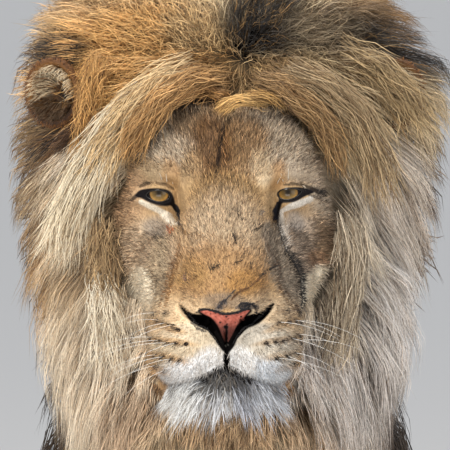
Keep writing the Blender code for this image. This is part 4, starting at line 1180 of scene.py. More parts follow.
def growLocks(name, weight, settings, paint):
    rng = np.random.default_rng(settings["seed"])
    locks = settings["locks"]
    rings = 3
    roots = scatterRoots(rng, locks, weight)
    length = settings.get("length", roots["length"][:, 0] / 1000) * rng.uniform(0.75, 1.2, locks)
    length = length * np.clip(roots["depth"][:, 0] / 0.030, settings.get("shortest", 0.4), 1.0)
    paths, normals, depths = lockPaths(rng, roots, length)
    proud = roots["proud"][:, 0] * rng.choice((0.45, 0.7, 0.9, 1.0, 1.06), locks, p=(0.12, 0.2, 0.26, 0.26, 0.16))
    lockTone = np.exp(rng.normal(0, settings["lockTone"], locks))
    curl = roots["curl"][:, 0] * settings.get("curl", 1.0)
    wave = rng.uniform(0.022, 0.040, locks)
    phase = rng.uniform(0, 2 * np.pi, locks)
    owner = np.repeat(np.arange(locks), settings["strands"])
    strands = len(owner)
    angle = rng.uniform(0, 2 * np.pi, strands)
    radius = np.sqrt(rng.random(strands)) * settings["radius"]
    reach = rng.uniform(0.72, 1.0, strands)
    share = np.linspace(0, 1, rings + 1)[None, :] * reach[:, None]
    middle = alongPath(paths[owner], share)
    normal = unit(alongPath(normals[owner], share))
    sunk = alongPath(depths[owner][..., None], share)[..., 0]
    along = np.gradient(middle, axis=1)
    side = unit(np.cross(unit(along), normal))
    risen = 1 - (1 - np.clip(share * 1.15, 0, 1)) ** 1.7
    level = np.clip(proud[owner] + rng.normal(0, 0.05, strands), 0.2, 1.15)
    middle = middle - normal * (sunk * (1 - level[:, None] * risen))[..., None]
    closing = 1 - settings["clump"] * np.clip(share * 1.2, 0, 1)
    grown = np.clip(share * 2.2, 0, 1) * (curl[owner] * settings["swing"])[:, None]
    start = (phase[owner] + rng.normal(0, 0.5, strands))[:, None]
    turns = 2 * np.pi * share * (length / wave)[owner][:, None] + start
    loose = rng.normal(0, settings["frizz"], (strands, 2)) * np.where(rng.random(strands) < 0.12, 2.5, 1.0)[:, None]
    sideways = (np.cos(angle) * radius)[:, None] * closing + np.sin(turns) * grown + loose[:, :1] * share ** 2
    upwards = (np.sin(angle) * radius * 0.6)[:, None] * closing + np.cos(turns) * grown * 0.6
    upwards = upwards + np.abs(loose[:, 1:]) * share ** 2 * 0.6
    spine = middle + side * sideways[..., None] + normal * upwards[..., None]
    spine[:, 0] -= normal[:, 0] * 0.004
    width = settings["width"] * rng.uniform(0.65, 1.35, strands)
    kept = np.ones(strands, bool)
    if "clear" in settings:  # no strand crosses the front of the ear that stands out of the mane
        (earX, earU), (wide, tall) = settings["clear"]
        ahead = toFace(spine.reshape(-1, 3)).reshape(strands, rings + 1, 3) * 1000
        kept = ~(np.hypot((ahead[..., 0] - earX) / wide, (ahead[..., 1] - earU) / tall) < 1)[:, 1:].any(1)
    roll = rng.normal(0, 0.5, strands)
    flat = side * np.cos(roll)[:, None, None] + normal * np.sin(roll)[:, None, None]
    up = normal * np.cos(roll)[:, None, None] - side * np.sin(roll)[:, None, None]
    base = paint(spine[:, 1]) * lockTone[owner][:, None] * settings.get("gain", (1, 1, 1))
    thin = 1 - ease((roots["depth"][:, 0] - 0.012) / 0.034)[owner]
    base = mixIn(base, settings.get("edge", base), thin * 0.85)
    base = flecked(base, rng.random(strands), (settings.get("darkShare", 0.2), (0.45, 0.38, 0.32), 0.85),
                   (settings.get("paleShare", 0.2), (1.62, 1.58, 1.52), 0.8), 0.015)
    base = mixIn(base, "#9c7748", (rng.random(strands) < 0.16) * (base.mean(1) < 0.09) * settings.get("fleck", 0.0))
    colours = shades(rng, base, settings["tone"], settings.get("rootShade", 0.3), 1.12, rings)
    # a warm brown tint in the painted shade at the lock's roots
    colours = colours * (np.array((1.0, 0.94, 0.88)) ** np.linspace(1.2, 0, rings + 1)[:, None])
    profile = np.interp(np.linspace(0, 1, rings + 1)[:rings], (0, 0.3, 0.75, 1), (0.75, 1.0, 0.8, 0.3))
    spine[..., 2] = np.maximum(spine[..., 2], 0.0015)
    uv = roots["uv"][owner] + rng.normal(0, 0.0012, (strands, 2))
    hairPieces(name, "long", spine[kept], flat[kept], up[kept], width[kept], profile, colours[kept], uv[kept])


frontMane = {
    "seed": 31, "locks": 1450, "strands": 16, "radius": 0.010, "clump": 0.22, "swing": 0.004, "frizz": 0.006,
    "width": 0.00035, "tone": 0.26, "lockTone": 0.12, "fleck": 0.9, "gain": (1.36, 1.42, 1.54), "rootShade": 0.5,
    "clear": ((-170, 99), (24, 30)),  # the ear's middle and reach on the face, in mm
}
rearMane = {
    "seed": 41, "locks": 850, "strands": 17, "radius": 0.019, "clump": 0.22, "swing": 0.004, "frizz": 0.009,
    "width": 0.00082, "tone": 0.2, "lockTone": 0.14, "length": 0.13, "curl": 0.8, "edge": "#80603a",
}
tailBrush = {
    "seed": 43, "locks": 140, "strands": 14, "radius": 0.010, "clump": 0.35, "swing": 0.003, "frizz": 0.006,
    "width": 0.0011, "tone": 0.2, "lockTone": 0.1, "length": 0.10, "curl": 0.4, "darkShare": 0.0, "paleShare": 0.03,
}
woolCoat = {"tufts": 15600, "length": 0.028, "width": 0.00033, "sunk": 0.020, "bend": 0.62, "tone": 0.28}


def growWool(weight):
    # the woolly crest over the brow: short crimped strands that stand out every way
    rng = np.random.default_rng(37)
    count, rings = woolCoat["tufts"], 3
    roots = scatterRoots(rng, count, ease((guideCurl - 0.35) / 0.35) * weight)
    proud = roots["proud"][:, 0]
    deep = np.minimum(roots["depth"][:, 0], woolCoat["sunk"]) - (proud - 1) * 0.040 * rng.random(count)
    place = roots["outer"] - roots["normal"] * deep[:, None]
    heading = unit(roots["normal"] * rng.uniform(0.2, 0.9, (count, 1)) + roots["lie"] * 0.75
                   - faceUp * 0.15 + rng.normal(0, 0.38, (count, 3)))
    length = woolCoat["length"] * rng.uniform(0.6, 1.3, count)
    spine = [place]
    for _ in range(rings):
        place = place + heading * (length / rings)[:, None]
        spine.append(place)
        heading = unit(heading * 0.9 + roots["lie"] * 0.22 + rng.normal(0, woolCoat["bend"], (count, 3)))
    spine = np.stack(spine, 1)
    side = unit(np.cross(spine[:, -1] - spine[:, 0], rng.normal(0, 1, (count, 3))))
    up = unit(np.cross(side, spine[:, -1] - spine[:, 0]))
    base = paintMane(spine[:, 2]) * (1.34, 1.34, 1.33)
    kind = rng.random(count)
    base = mixIn(base, "#a07c4e", ((kind > 0.3) & (kind < 0.46)) * (base.mean(1) < 0.07) * 0.9)
    base = flecked(base, kind, (0.24, (0.4, 0.33, 0.26), 0.9), (0.24, (1.55, 1.6, 1.6), 0.8), 0.02)
    colours = shades(rng, base, woolCoat["tone"], 0.55, 1.1, rings)
    width = woolCoat["width"] * rng.uniform(0.7, 1.3, count)
    hairPieces("maneCrest", "long", spine, side, up, width, (0.9, 1.0, 0.7), colours, roots["uv"])


styledLocks = (
    # colour, strands, half width, curl, each strand's share, then the lock's middle line in mm (across, up, out)
    ("#ab8454", 620, 14, 5, 0.26, (8, 118, -24), (-30, 114, -12), (-62, 94, -6), (-86, 62, -16),
     (-102, 26, -34)),
    ("#d8ba8c", 700, 18, 5, 0.26, (-25, 130, -24), (-62, 114, -14), (-94, 84, -22), (-118, 46, -38),
     (-134, 4, -56)),
    ("#f4e4c6", 760, 22, 3, 0.36, (-70, 108, -34), (-112, 64, -40), (-140, 18, -56), (-160, -34, -70),
     (-170, -84, -80)),
    ("#97774f", 480, 13, 5, 0.26, (22, 116, -20), (56, 106, -10), (88, 82, -16), (110, 50, -32),
     (122, 10, -50)),
    ("#a88f6c", 560, 18, 4, 0.3, (55, 128, -24), (98, 110, -26), (134, 76, -44), (156, 28, -62),
     (168, -24, -74)),
    ("#c39c62", 190, 6, 2, 0.5, (44, 86, -12), (30, 93, -4), (12, 93, 0), (-3, 86, -4), (-10, 77, -12)),
    ("#a5814e", 120, 6, 2, 0.5, (60, 84, -14), (46, 95, -6), (28, 98, -2), (12, 96, -6)),
    ("#8a6335", 90, 6, 2, 0.5, (-20, 104, -16), (-4, 98, -8), (8, 88, -14)),
    ("#a38a64", 420, 20, 5, 0.34, (110, 150, -60), (150, 128, -74), (184, 96, -88), (206, 54, -96)),
    ("#aa9a83", 420, 18, 3, 0.26, (122, -14, -46), (128, -56, -42), (124, -100, -40), (116, -142, -44),
     (110, -186, -50)),
    ("#a0845e", 230, 18, 3, 0.3, (-117, -18, -48), (-123, -50, -45), (-121, -84, -43), (-118, -112, -44)),
    ("#f4e6cc", 300, 19, 3, 0.3, (-124, -74, -50), (-121, -104, -42), (-116, -142, -46), (-114, -186, -52)),
    ("#b98d54", 560, 13, 6, 0.2, (-122, 142, -48), (-132, 118, -50), (-138, 88, -56), (-140, 60, -64),
     (-148, 30, -74)),
    ("#4a3018", 150, 8, 4, 0.4, (-142, 74, -66), (-160, 58, -74), (-180, 44, -84)),
)


def growStyled():
    # the rolls of hair that frame the brow, and the forelock, each combed along its own line
    rng = np.random.default_rng(47)
    rings = 4
    spines, bases, sides, ups = [], [], [], []
    for code, strands, radius, curl, reach, *line in styledLocks:
        path = np.array(line, dtype=float)
        start = rng.uniform(0.0, 1.0 - reach, strands)
        end = np.minimum(start + reach * rng.uniform(0.75, 1.25, strands), 1.0)
        share = start[:, None] + (end - start)[:, None] * np.linspace(0, 1, rings + 1)[None]
        middle = alongPath(np.repeat(path[None], strands, 0), share)
        ahead = unit(np.gradient(middle, axis=1))
        side = unit(np.cross(ahead, np.array((0, 0, 1.0))))
        up = np.cross(side, ahead)
        angle, away = rng.uniform(0, 2 * np.pi, strands), np.sqrt(rng.random(strands)) * radius
        wave = np.sin(share * rng.uniform(14, 26, (strands, 1)) + rng.uniform(0, 6.3, (strands, 1)))
        loose = rng.normal(0, radius * 0.5, (strands, 2))
        local = np.linspace(0, 1, rings + 1)[None]
        across = (np.cos(angle) * away)[:, None] + wave * curl * 0.5 + loose[:, :1] * local ** 2
        height = (np.sin(angle) * away * 0.55)[:, None] + loose[:, 1:] * local ** 2 * 0.5
        height = height - (1 - local) * 3 - local * 2
        spines.append(middle + side * across[..., None] + up * height[..., None])
        bases.append(np.tile(hexToLinear(code), (strands, 1)))
        sides.append(side)
        ups.append(up)
    spine = fromFace(np.concatenate(spines) / 1000)
    side, up = np.concatenate(sides) @ faceBasis, np.concatenate(ups) @ faceBasis
    base = flecked(np.concatenate(bases) * 1.15, rng.random(len(spine)), (0.22, (0.42, 0.35, 0.28), 0.9),
                   (0.22, (1.5, 1.55, 1.6), 0.8), 0.02)
    colours = shades(rng, base, 0.24, 0.55, 1.1, rings)
    width = 0.00037 * rng.uniform(0.7, 1.3, len(spine))
    near = KDTree(len(outer))
    for number, place in enumerate(outer):
        near.insert(place, number)
    near.balance()
    roots = np.array([near.find(Vector(place))[1] for place in spine[:, 0]])
    uv = np.zeros((len(outer), 2))
    uv[skinCorners.ravel()] = cornerUv.reshape(-1, 2)
    hairPieces("maneForelock", "long", spine, side, up, width, (0.7, 1.0, 0.95, 0.6), colours, uv[roots])


def growMane():
    at = toFace(outer) * 1000
    seen = ease((at[:, 2] + 260) / 60)
    inMane = ease(longHair * 2.2) * (headAmount < 0.6)
    straight = 1 - 0.75 * ease((guideCurl - 0.45) / 0.4)
    fringe = 1 + 1.4 * ease((inFace + 34) / 26)  # thickest beside the short hair
    growLocks("maneFront", inMane * seen * straight * fringe, frontMane, paintMane)
    growWool(inMane * seen)
    growStyled()
    growLocks("maneRear", inMane * (1 - seen), rearMane, paintMane)
    growLocks("tailBrush", ease(tailHair * 2.5), tailBrush,
              lambda points: np.tile(coatLinear["tailTuft"], (len(points), 1)))


growFace()
growBody()
growMane()


eyeLook = {
    "gaze": (-0.085, 0.06, 1.0), "segments": 48, "rings": 32, "cornea": 0.0105, "corneaLift": 0.0011,
    "bands": ((0.0, "#1e1913"), (0.10, "#332a1c"), (0.20, "#5c4a2e"), (0.36, "#7b6238"), (0.47, "#a17a40"),
              (0.52, "#8f6a38"), (0.56, "#1c1310"), (0.62, "#0c0a0a"), (1.0, "#0a0909")),  # pupil to rim
}


def eyeMaterial(name, centre, axis):
    # a wet cornea over an amber iris: dim in the middle, brightest at its rim, black outside it
    material, tree = newMaterial(name)
    place = addNode(tree, "ShaderNodeTexCoord")
    turn = Vector(axis).rotation_difference(Vector((0, 0, 1))).to_matrix()
    moved = turn @ Vector(centre)
    centred = addNode(tree, "ShaderNodeMapping", {"Vector": place.outputs["Object"]}, Location_=tuple(-moved),
                      Rotation_=tuple(turn.to_euler()))
    flat = addNode(tree, "ShaderNodeVectorMath", {0: centred.outputs[0]}, operation="MULTIPLY")
    flat.inputs[1].default_value = (1, 1, 0)
    away = addNode(tree, "ShaderNodeVectorMath", {0: flat.outputs[0]}, operation="LENGTH")
    ring = addNode(tree, "ShaderNodeMapRange", {"Value": away.outputs["Value"]}, From_Max_=eyeShape["radius"])
    heading = addNode(tree, "ShaderNodeVectorMath", {0: flat.outputs[0]}, operation="NORMALIZE")
    fibres = addNode(tree, "ShaderNodeTexNoise", {"Vector": heading.outputs[0]}, Scale_=11.0, Detail_=5.0)
    ramp = addNode(tree, "ShaderNodeValToRGB", {"Fac": ring.outputs[0]})
    stops = ramp.color_ramp.elements
    stops[0].position, stops[1].position = 0.0, 1.0
    for share, code in eyeLook["bands"]:
        stop = stops[0] if share == 0 else stops[-1] if share == 1 else stops.new(share)
        stop.color = (*hexToLinear(code), 1)
    tone = addNode(tree, "ShaderNodeMapRange", {"Value": fibres.outputs[0]}, From_Min_=0.3, From_Max_=0.7,
                   To_Min_=0.75, To_Max_=1.2)
    shade = addNode(tree, "ShaderNodeVectorMath", {0: ramp.outputs[0], 3: tone.outputs[0]}, operation="SCALE")
    parts = addNode(tree, "ShaderNodeSeparateXYZ", {0: centred.outputs[0]})
    lidShade = addNode(tree, "ShaderNodeMapRange", {"Value": parts.outputs["Y"]}, From_Min_=-0.005, From_Max_=0.0030,
                       To_Min_=1.0, To_Max_=0.26)
    shaded = addNode(tree, "ShaderNodeVectorMath", {0: shade.outputs[0], 3: lidShade.outputs[0]}, operation="SCALE")
    body = addNode(tree, "ShaderNodeBsdfPrincipled", {"Base Color": shaded.outputs[0]}, Roughness_=0.6, IOR_=1.38,
                   Specular_IOR_Level_=0.0, Coat_Weight_=0.4, Coat_Roughness_=0.02)
    addNode(tree, "ShaderNodeOutputMaterial", {"Surface": body.outputs[0]})
    return material


def buildEye(side, word):
    centre = eyeCentres[side]
    axis = unit(np.array(eyeLook["gaze"]) @ faceBasis)
    bm = bmesh.new()
    bmesh.ops.create_uvsphere(bm, u_segments=eyeLook["segments"], v_segments=eyeLook["rings"],
                              radius=eyeShape["radius"])
    turn = Vector((0, 0, 1)).rotation_difference(Vector(axis)).to_matrix().to_4x4()
    for vert in bm.verts:  # the cornea stands a little proud of the ball
        away = math.hypot(vert.co.x, vert.co.y)
        if vert.co.z > 0 and away < eyeLook["cornea"]:
            vert.co.z += eyeLook["corneaLift"] * (1 - (away / eyeLook["cornea"]) ** 2)
    bmesh.ops.transform(bm, matrix=Matrix.Translation(Vector(centre)) @ turn, verts=bm.verts)
    for face in bm.faces:
        face.smooth = True
    ball = meshObject("eyeball" + word, bm)
    ball.data.materials.append(eyeMaterial("cornea" + word, centre, axis))
    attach(ball, "root")
    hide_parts("eye_" + word.lower())


lidMargin = {"radius": 0.0009, "sides": 8}


def lidMaterial():
    # the bare wet margin of a lid: black skin with a tear's gloss
    material, tree = newMaterial("lidMarginWetSkin")
    place = addNode(tree, "ShaderNodeTexCoord")
    grain = addNode(tree, "ShaderNodeTexNoise", {"Vector": place.outputs["Object"]}, Scale_=900.0)
    bump = addNode(tree, "ShaderNodeBump", {"Height": grain.outputs[0]}, Strength_=0.2, Distance_=0.0004)
    body = addNode(tree, "ShaderNodeBsdfPrincipled", {"Normal": bump.outputs[0]}, Roughness_=0.22, IOR_=1.4)
    body.inputs["Base Color"].default_value = (*hexToLinear("#15120f"), 1)
    addNode(tree, "ShaderNodeOutputMaterial", {"Surface": body.outputs[0]})
    return material


def buildLidMargins():
    bm = bmesh.new()
    for side in (1, -1):
        line = roundOff(np.array(eyeOpening[side], dtype=float), 3)
        away = np.linalg.norm(line, axis=1)
        flat = np.stack([(line[:, 0] + eyeSpread) * side, line[:, 1] + eyeLift,
                         eyeFront + ballHeight(away, eyeShape["radius"] * 1000 + 0.25)], 1)
        path = fromFace(flat / 1000)
        ahead = unit(np.roll(path, -1, 0) - np.roll(path, 1, 0))
        across = unit(np.cross(ahead, faceOut))
        over = np.cross(ahead, across)
        rings = []
        for place, first, second in zip(path, across, over):
            angles = np.linspace(0, 2 * np.pi, lidMargin["sides"], endpoint=False)
            rings.append([bm.verts.new(place + lidMargin["radius"] * (first * math.cos(a) + second * math.sin(a)))
                          for a in angles])
        for one, two in zip(rings, rings[1:] + rings[:1]):
            for k in range(lidMargin["sides"]):
                j = (k + 1) % lidMargin["sides"]
                bm.faces.new((one[k], two[k], two[j], one[j])).smooth = True
    bmesh.ops.recalc_face_normals(bm, faces=bm.faces)
    rims = meshObject("lidMargins", bm)
    rims.data.materials.append(lidMaterial())
    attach(rims, "root")


buildEye(1, "Left")
buildEye(-1, "Right")
buildLidMargins()
print("eyes")


earCup = {
    "section": ((0, -15), (7, -14.5), (14, -11.5), (19.5, -6), (23, 0), (25, 6), (27.5, 9.5), (31, 9.5), (33, 6),
                (32, 0), (27, -8), (20, -15), (12, -20), (5, -22.5), (0, -23)),  # radius and height, mm
    "taller": 1.1, "turnOut": 28, "tipUp": -6, "steps": 44,
}


def buildEar(side, word):
    # a cup spun from its section, then set on the head
    low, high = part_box("ear_" + word.lower())
    centre = (np.array(low) + np.array(high)) / 2
    bm = bmesh.new()
    points = [bm.verts.new((radius / 1000, 0, height / 1000)) for radius, height in earCup["section"]]
    lines = [bm.edges.new(pair) for pair in zip(points, points[1:])]
    bmesh.ops.spin(bm, geom=points + lines, cent=(0, 0, 0), axis=(0, 0, 1), angle=2 * math.pi,
                   steps=earCup["steps"], use_merge=True)
    bmesh.ops.remove_doubles(bm, verts=bm.verts, dist=0.0001)
    bmesh.ops.subdivide_edges(bm, edges=bm.edges, cuts=1, use_grid_fill=True)
    for _ in range(3):
        bmesh.ops.smooth_vert(bm, verts=bm.verts, factor=0.4, use_axis_x=True, use_axis_y=True, use_axis_z=True)
    bmesh.ops.recalc_face_normals(bm, faces=bm.faces)
    for face in bm.faces:
        face.smooth = True
    cup = meshObject("ear" + word, bm)
    local = readVectors(cup.data.vertices, "co")
    radius = np.hypot(local[:, 0], local[:, 1])
    inside = ease((local[:, 2] + 23 / 1000 - (radius * 1000 / 31) ** 2 * 0.027 - 0.004) / 0.004)
    local[:, 1] *= earCup["taller"]
    facing = unit(faceOut + side * math.tan(math.radians(earCup["turnOut"])) * faceBasis[0]
                  + math.tan(math.radians(earCup["tipUp"])) * faceUp)
    across = unit(np.cross(faceUp, facing))
    upward = np.cross(facing, across)
    basis = np.array((across, upward, facing))
    setPoints(cup.data, local @ basis + centre)
    # the cup's depth darkest: painted shade in the ear's hollow
    deep = ease((0.017 - np.hypot(local[:, 0] + side * 0.006, local[:, 1] + 0.003)) / 0.010) * inside
    colours = np.tile(hexToLinear("#5f3d1e"), (len(local), 1))
    colours = mixIn(colours, "#9a6d38", ease((0.029 - radius) / 0.004) * inside * 0.9)
    colours = mixIn(colours, "#4d3319", ease((0.024 - radius) / 0.006) * inside * 0.9)
    colours = mixIn(colours, "#2c1a0e", ease((-0.010 - local[:, 1]) / 0.01) * inside * 0.85)
    colours = mixIn(colours, "#17100c", deep)
    addLayer(cup.data, "coatColour", "FLOAT_COLOR", colours)
    cup.data.materials.append(furMaterials["ear"])
    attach(cup, "root")
    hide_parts("ear_" + word.lower())
    return centre, basis


earFur = {"inner": 820, "rim": 900, "innerLength": 0.021, "rimLength": 0.0040}


def growEar(side, word, centre, basis):
    rng = np.random.default_rng(53 + side)
    count = earFur["inner"] + earFur["rim"]
    inner = np.arange(count) < earFur["inner"]
    section = np.array(earCup["section"]) / 1000
    spots = np.where(inner, rng.uniform(0.8, 5.0, count), rng.uniform(5.2, 11.5, count))
    low = np.minimum(spots.astype(int), len(section) - 2)
    ring = section[low] + (section[low + 1] - section[low]) * (spots - low)[:, None]
    slope = unit(section[low + 1] - section[low])
    angle = rng.uniform(0, 2 * np.pi, count)
    outward = np.stack([np.cos(angle), np.sin(angle), np.zeros(count)], 1)
    place = outward * ring[:, :1] + np.array((0, 0, 1)) * ring[:, 1:]
    away = outward * (-slope[:, 1:]) + np.array((0, 0, 1)) * slope[:, :1]  # out of the cup's own surface
    along = outward * slope[:, :1] + np.array((0, 0, 1)) * slope[:, 1:]
    stray = rng.normal(0, 0.15, (2, count, 3))
    heading = unit(along * 0.9 + np.where(inner[:, None], away * 0.40 + stray[0], away * 0.3 + stray[1]))
    length = np.where(inner, earFur["innerLength"], earFur["rimLength"]) * rng.uniform(0.6, 1.2, count)
    place[:, 1] *= earCup["taller"]
    sag = np.array((0, -0.2, 0))
    spine = np.stack([place - away * 0.0005, place + heading * (length * 0.4)[:, None],
                      place + unit(heading + sag * 0.5) * (length * 0.75)[:, None],
                      place + unit(heading + sag) * length[:, None]], 1) @ basis + centre
    facing = away @ basis
    across = unit(np.cross(heading @ basis, facing))
    colours = np.where(inner[:, None], hexToLinear("#ffeac6"), hexToLinear("#6a431f"))
    colours = mixIn(colours, "#2a190c", (rng.random(count) < np.where(inner, 0.12, 0.3)) * 0.9)
    colours = mixIn(colours, "#a06a34", (rng.random(count) < np.where(inner, 0.12, 0.30)) * 0.85)
    colours = mixIn(colours, "#4a2d15", ease((-outward[:, 1] - 0.05) / 0.3) * inner * 0.9)
    tint = shades(rng, colours, 0.16, 0.85, 1.15, 3)
    width = 0.00036 * rng.uniform(0.7, 1.3, count)
    uv = np.stack([0.5 + outward[:, 0] * spots / 32, 0.5 + outward[:, 1] * spots / 32], 1)
    hairPieces("earFur" + word, "long", spine, across, facing, width, (1.0, 0.9, 0.6), tint, uv)


for side, word in ((1, "Left"), (-1, "Right")):
    growEar(side, word, *buildEar(side, word))
print("ears")


beardHair = {"locks": 170, "perLock": 15, "length": 0.029, "width": 0.00040, "spread": 0.0042, "tone": 0.18}


def growBeard():
    # white hair that spreads down and out from under the mouth in small pointed locks
    rng = np.random.default_rng(61)
    at = toFace(outer) * 1000
    onChin = ease(ovalReach(at[:, :2], (0, -197), (64, 20)) * 2.5) * onHead * (at[:, 2] > -20)
    onChin *= ease((-176 - 0.3 * np.minimum(np.abs(at[:, 0]), 46) - at[:, 1]) / 4)
    roots = scatterRoots(rng, beardHair["locks"], onChin)
    at = toFace(roots["inner"]) * 1000
    locks, rings = len(at), 3
    fan = np.stack([at[:, 0] * 1.5, at[:, 1] + 160, np.full(locks, 16.0)], 1)
    heading = unit(unit(fan) @ faceBasis + roots["normal"] * 0.30 + rng.normal(0, 0.14, (locks, 3)))
    size = np.clip(0.3 + (-at[:, 1] - 180) / 30, 0.25, 1.0)
    length = beardHair["length"] * rng.uniform(0.45, 1.25, locks) * size
    length = length * (1 - 0.35 * ease((np.abs(at[:, 0]) - 30) / 30))
    owner = np.repeat(np.arange(locks), beardHair["perLock"])
    count = len(owner)
    share = np.linspace(0, 1, rings + 1)[None, :, None]
    loose = rng.normal(0, beardHair["spread"], (count, 3))
    stray = rng.normal(0, 0.10, (count, 3)) + (0, 0.10, -0.40)
    reach = (length[owner] * rng.uniform(0.65, 1.1, count))[:, None, None]
    spine = roots["inner"][owner][:, None] + (heading[owner][:, None] + stray[:, None] * share) * share * reach
    spine = spine + loose[:, None] * (1 - 0.75 * share)
    side = unit(np.cross(heading, roots["normal"]))[owner]
    up = unit(np.cross(side, heading[owner]))
    place = toFace(spine[:, 1]) * 1000
    base = np.tile(hexToLinear("#fbfaf7"), (count, 1))
    # darker at the top middle: painted shade under the mouth
    base = mixIn(base, "#4c4845", ease((place[:, 1] + 203) / 12) * ease((36 - np.abs(place[:, 0])) / 20) * 0.9)
    base = mixIn(base, "#c9c9cc", ease((34 - np.abs(place[:, 0])) / 20) * 0.8 * (base.mean(1) > 0.5))
    base = mixIn(base, "#9a8d7c", (rng.random(count) < 0.20) * 0.7)
    # darker towards the lion's left side: painted shade
    base = base * (1 - ease((place[:, :1] - 2) / 12) * (0.34, 0.32, 0.26))
    colours = shades(rng, base, beardHair["tone"], 0.6, 1.05, rings)
    width = beardHair["width"] * rng.uniform(0.6, 1.4, count)
    hairPieces("beard", "long", spine, side, up, width, (1.0, 0.9, 0.6), colours, roots["uv"][owner])


whiskerLook = {"length": 0.064, "radius": 0.00036, "rings": 8, "innermost": 46}


def onSkin(tree, x, u):
    # the skin's place behind a place on the face in mm
    near = tree.ray_cast(Vector(fromFace(mm(x, u, 200))), Vector(-faceOut))[0]
    return None if near is None else np.array(near)


def growWhiskers():
    rng = np.random.default_rng(71)
    tree = formTree(inner)
    starts, headings, lengths, tints = [], [], [], []
    for side in (1, -1):
        for x, u in whiskerRows[side]:
            near = onSkin(tree, x, u)
            if abs(x) < whiskerLook["innermost"] or near is None:
                continue
            starts.append(near)
            headings.append((side * rng.uniform(0.9, 1.1), rng.uniform(-0.25, 0.12) + (u + 145) * 0.004,
                             rng.uniform(0.1, 0.5)))
            lengths.append(whiskerLook["length"] * rng.uniform(0.6, 1.25))
            tints.append("#4a3f38" if rng.random() < 0.22 else "#f2efe9")
        for x, u in ((58, 12), (63, 14), (52, 10)):  # pale bristles over the eye
            starts.append(onSkin(tree, x * side, u))
            headings.append((side * rng.uniform(-0.2, 0.5), 0.9, 0.8))
            lengths.append(0.020 * rng.uniform(0.7, 1.2))
            tints.append("#e8e0d0")
    starts, lengths = np.array(starts), np.array(lengths)
    heading = unit(np.array(headings) @ faceBasis)
    share = np.linspace(0, 1, whiskerLook["rings"] + 1)
    sag = -np.array((0, 0, 1.0)) * 0.30 + np.array((0, 0.25, 0))
    spine = starts[:, None] + heading[:, None] * (lengths[:, None] * share)[..., None]
    spine = spine + sag * (lengths[:, None] * share ** 2)[..., None]
    side = unit(np.cross(heading, np.array((0, 0, 1.0))))
    up = np.cross(side, heading)
    tint = np.repeat(np.stack([hexToLinear(code) for code in tints])[:, None], len(share), 1)
    width = np.full(len(starts), whiskerLook["radius"])
    hairPieces("whiskers", "long", spine, side, up, width, np.linspace(1, 0.3, len(share)), tint,
               0.5 + rng.normal(0, 0.02, (len(starts), 2)))


faceMarks = (
    # old scars, seams, and the black fuzz along the leather and the nostrils: colour, half width, points in mm
    ("#1a120d", 0.55, (9, -18), (13, -22), (17, -27)), ("#241a14", 0.7, (7, -40), (9, -45), (11, -51)),
    ("#261c15", 0.6, (28, -37), (37, -34)), ("#2a1f17", 0.55, (9, -70), (17, -68)),
    ("#2a1f17", 0.6, (25, -69), (25.5, -75)), ("#1d1510", 0.8, (43, -77), (50, -73)),
    ("#231912", 0.8, (33, -84), (40, -80)), ("#1d1510", 0.8, (-15, -77), (-6, -72)),
    ("#4a3238", 0.7, (-38, -82), (-38.5, -88)), ("#5a3c22", 0.5, (-33, -88), (-28, -83)),
    ("#59391f", 0.5, (6, -106), (13, -99), (24, -94), (34, -86)), ("#5a3c22", 0.4, (-40, -72), (-36, -78)),
    ("#4a3524", 0.4, (-2, -66), (4, -63)), ("#5a3c22", 0.4, (2, -84), (6, -86)),
    ("#2c2825", 0.6, (-69, -45), (-64, -43)), ("#3c2e22", 0.5, (47, -60), (51, -66), (54, -74)),
    ("#7a5730", 0.5, (-43, -37), (-38, -43), (-23, -43)),
    ("#6e4a26", 0.5, (-44, -54), (-49, -68), (-55, -86)),
    ("#1d1a19", 0.9, (61, -57), (70, -71), (75, -83), (75, -97), (77, -108), (72, -117)),
    ("#33302f", 0.6, (52, -26), (56, -44), (61, -58)),
    # the brow's crease in dark hairs: painted shade in the fold
    ("#140e0a", 0.7, (8, 79), (2, 67), (-3, 57), (-5, 42)), ("#2a1b12", 0.6, (-5, 43), (-7, 30), (-8, 17)),
    ("#5b4028", 0.35, (-25, -58), (-21, -56)),
    ("#171518", 1.5, (-28, -119), (-24, -116.5), (-18, -115.5), (-11, -117.5), (-4, -119.5), (2, -120.5),
     (10, -119.5), (17, -117), (23, -114.5)),
    ("#1d1b20", 1.8, (14, -116), (20, -112), (27, -110.5), (31, -114), (30, -119)),
    ("#2c292b", 1.4, (13, -113), (16, -110), (22, -110)),
    ("#3a3638", 2.2, (-7, -115), (-4, -111), (-1, -108)), ("#4a4340", 0.7, (0, -108), (5, -102), (10, -97)),
    ("#100e0e", 0.9, (-41, -114), (-35, -121), (-29, -127)),
    ("#171415", 0.9, (-32, -125), (-26, -131), (-18, -134), (-13, -140), (-7, -148)),
    ("#100e0e", 1.0, (45, -111), (39, -118), (32, -125)),
    ("#171415", 1.1, (34, -122), (26, -130), (18, -134), (13, -140), (8, -148)),
    ("#6f675c", 1.5, (-33, -128), (-27, -134), (-20, -137)),
)
markWidth = 0.00038


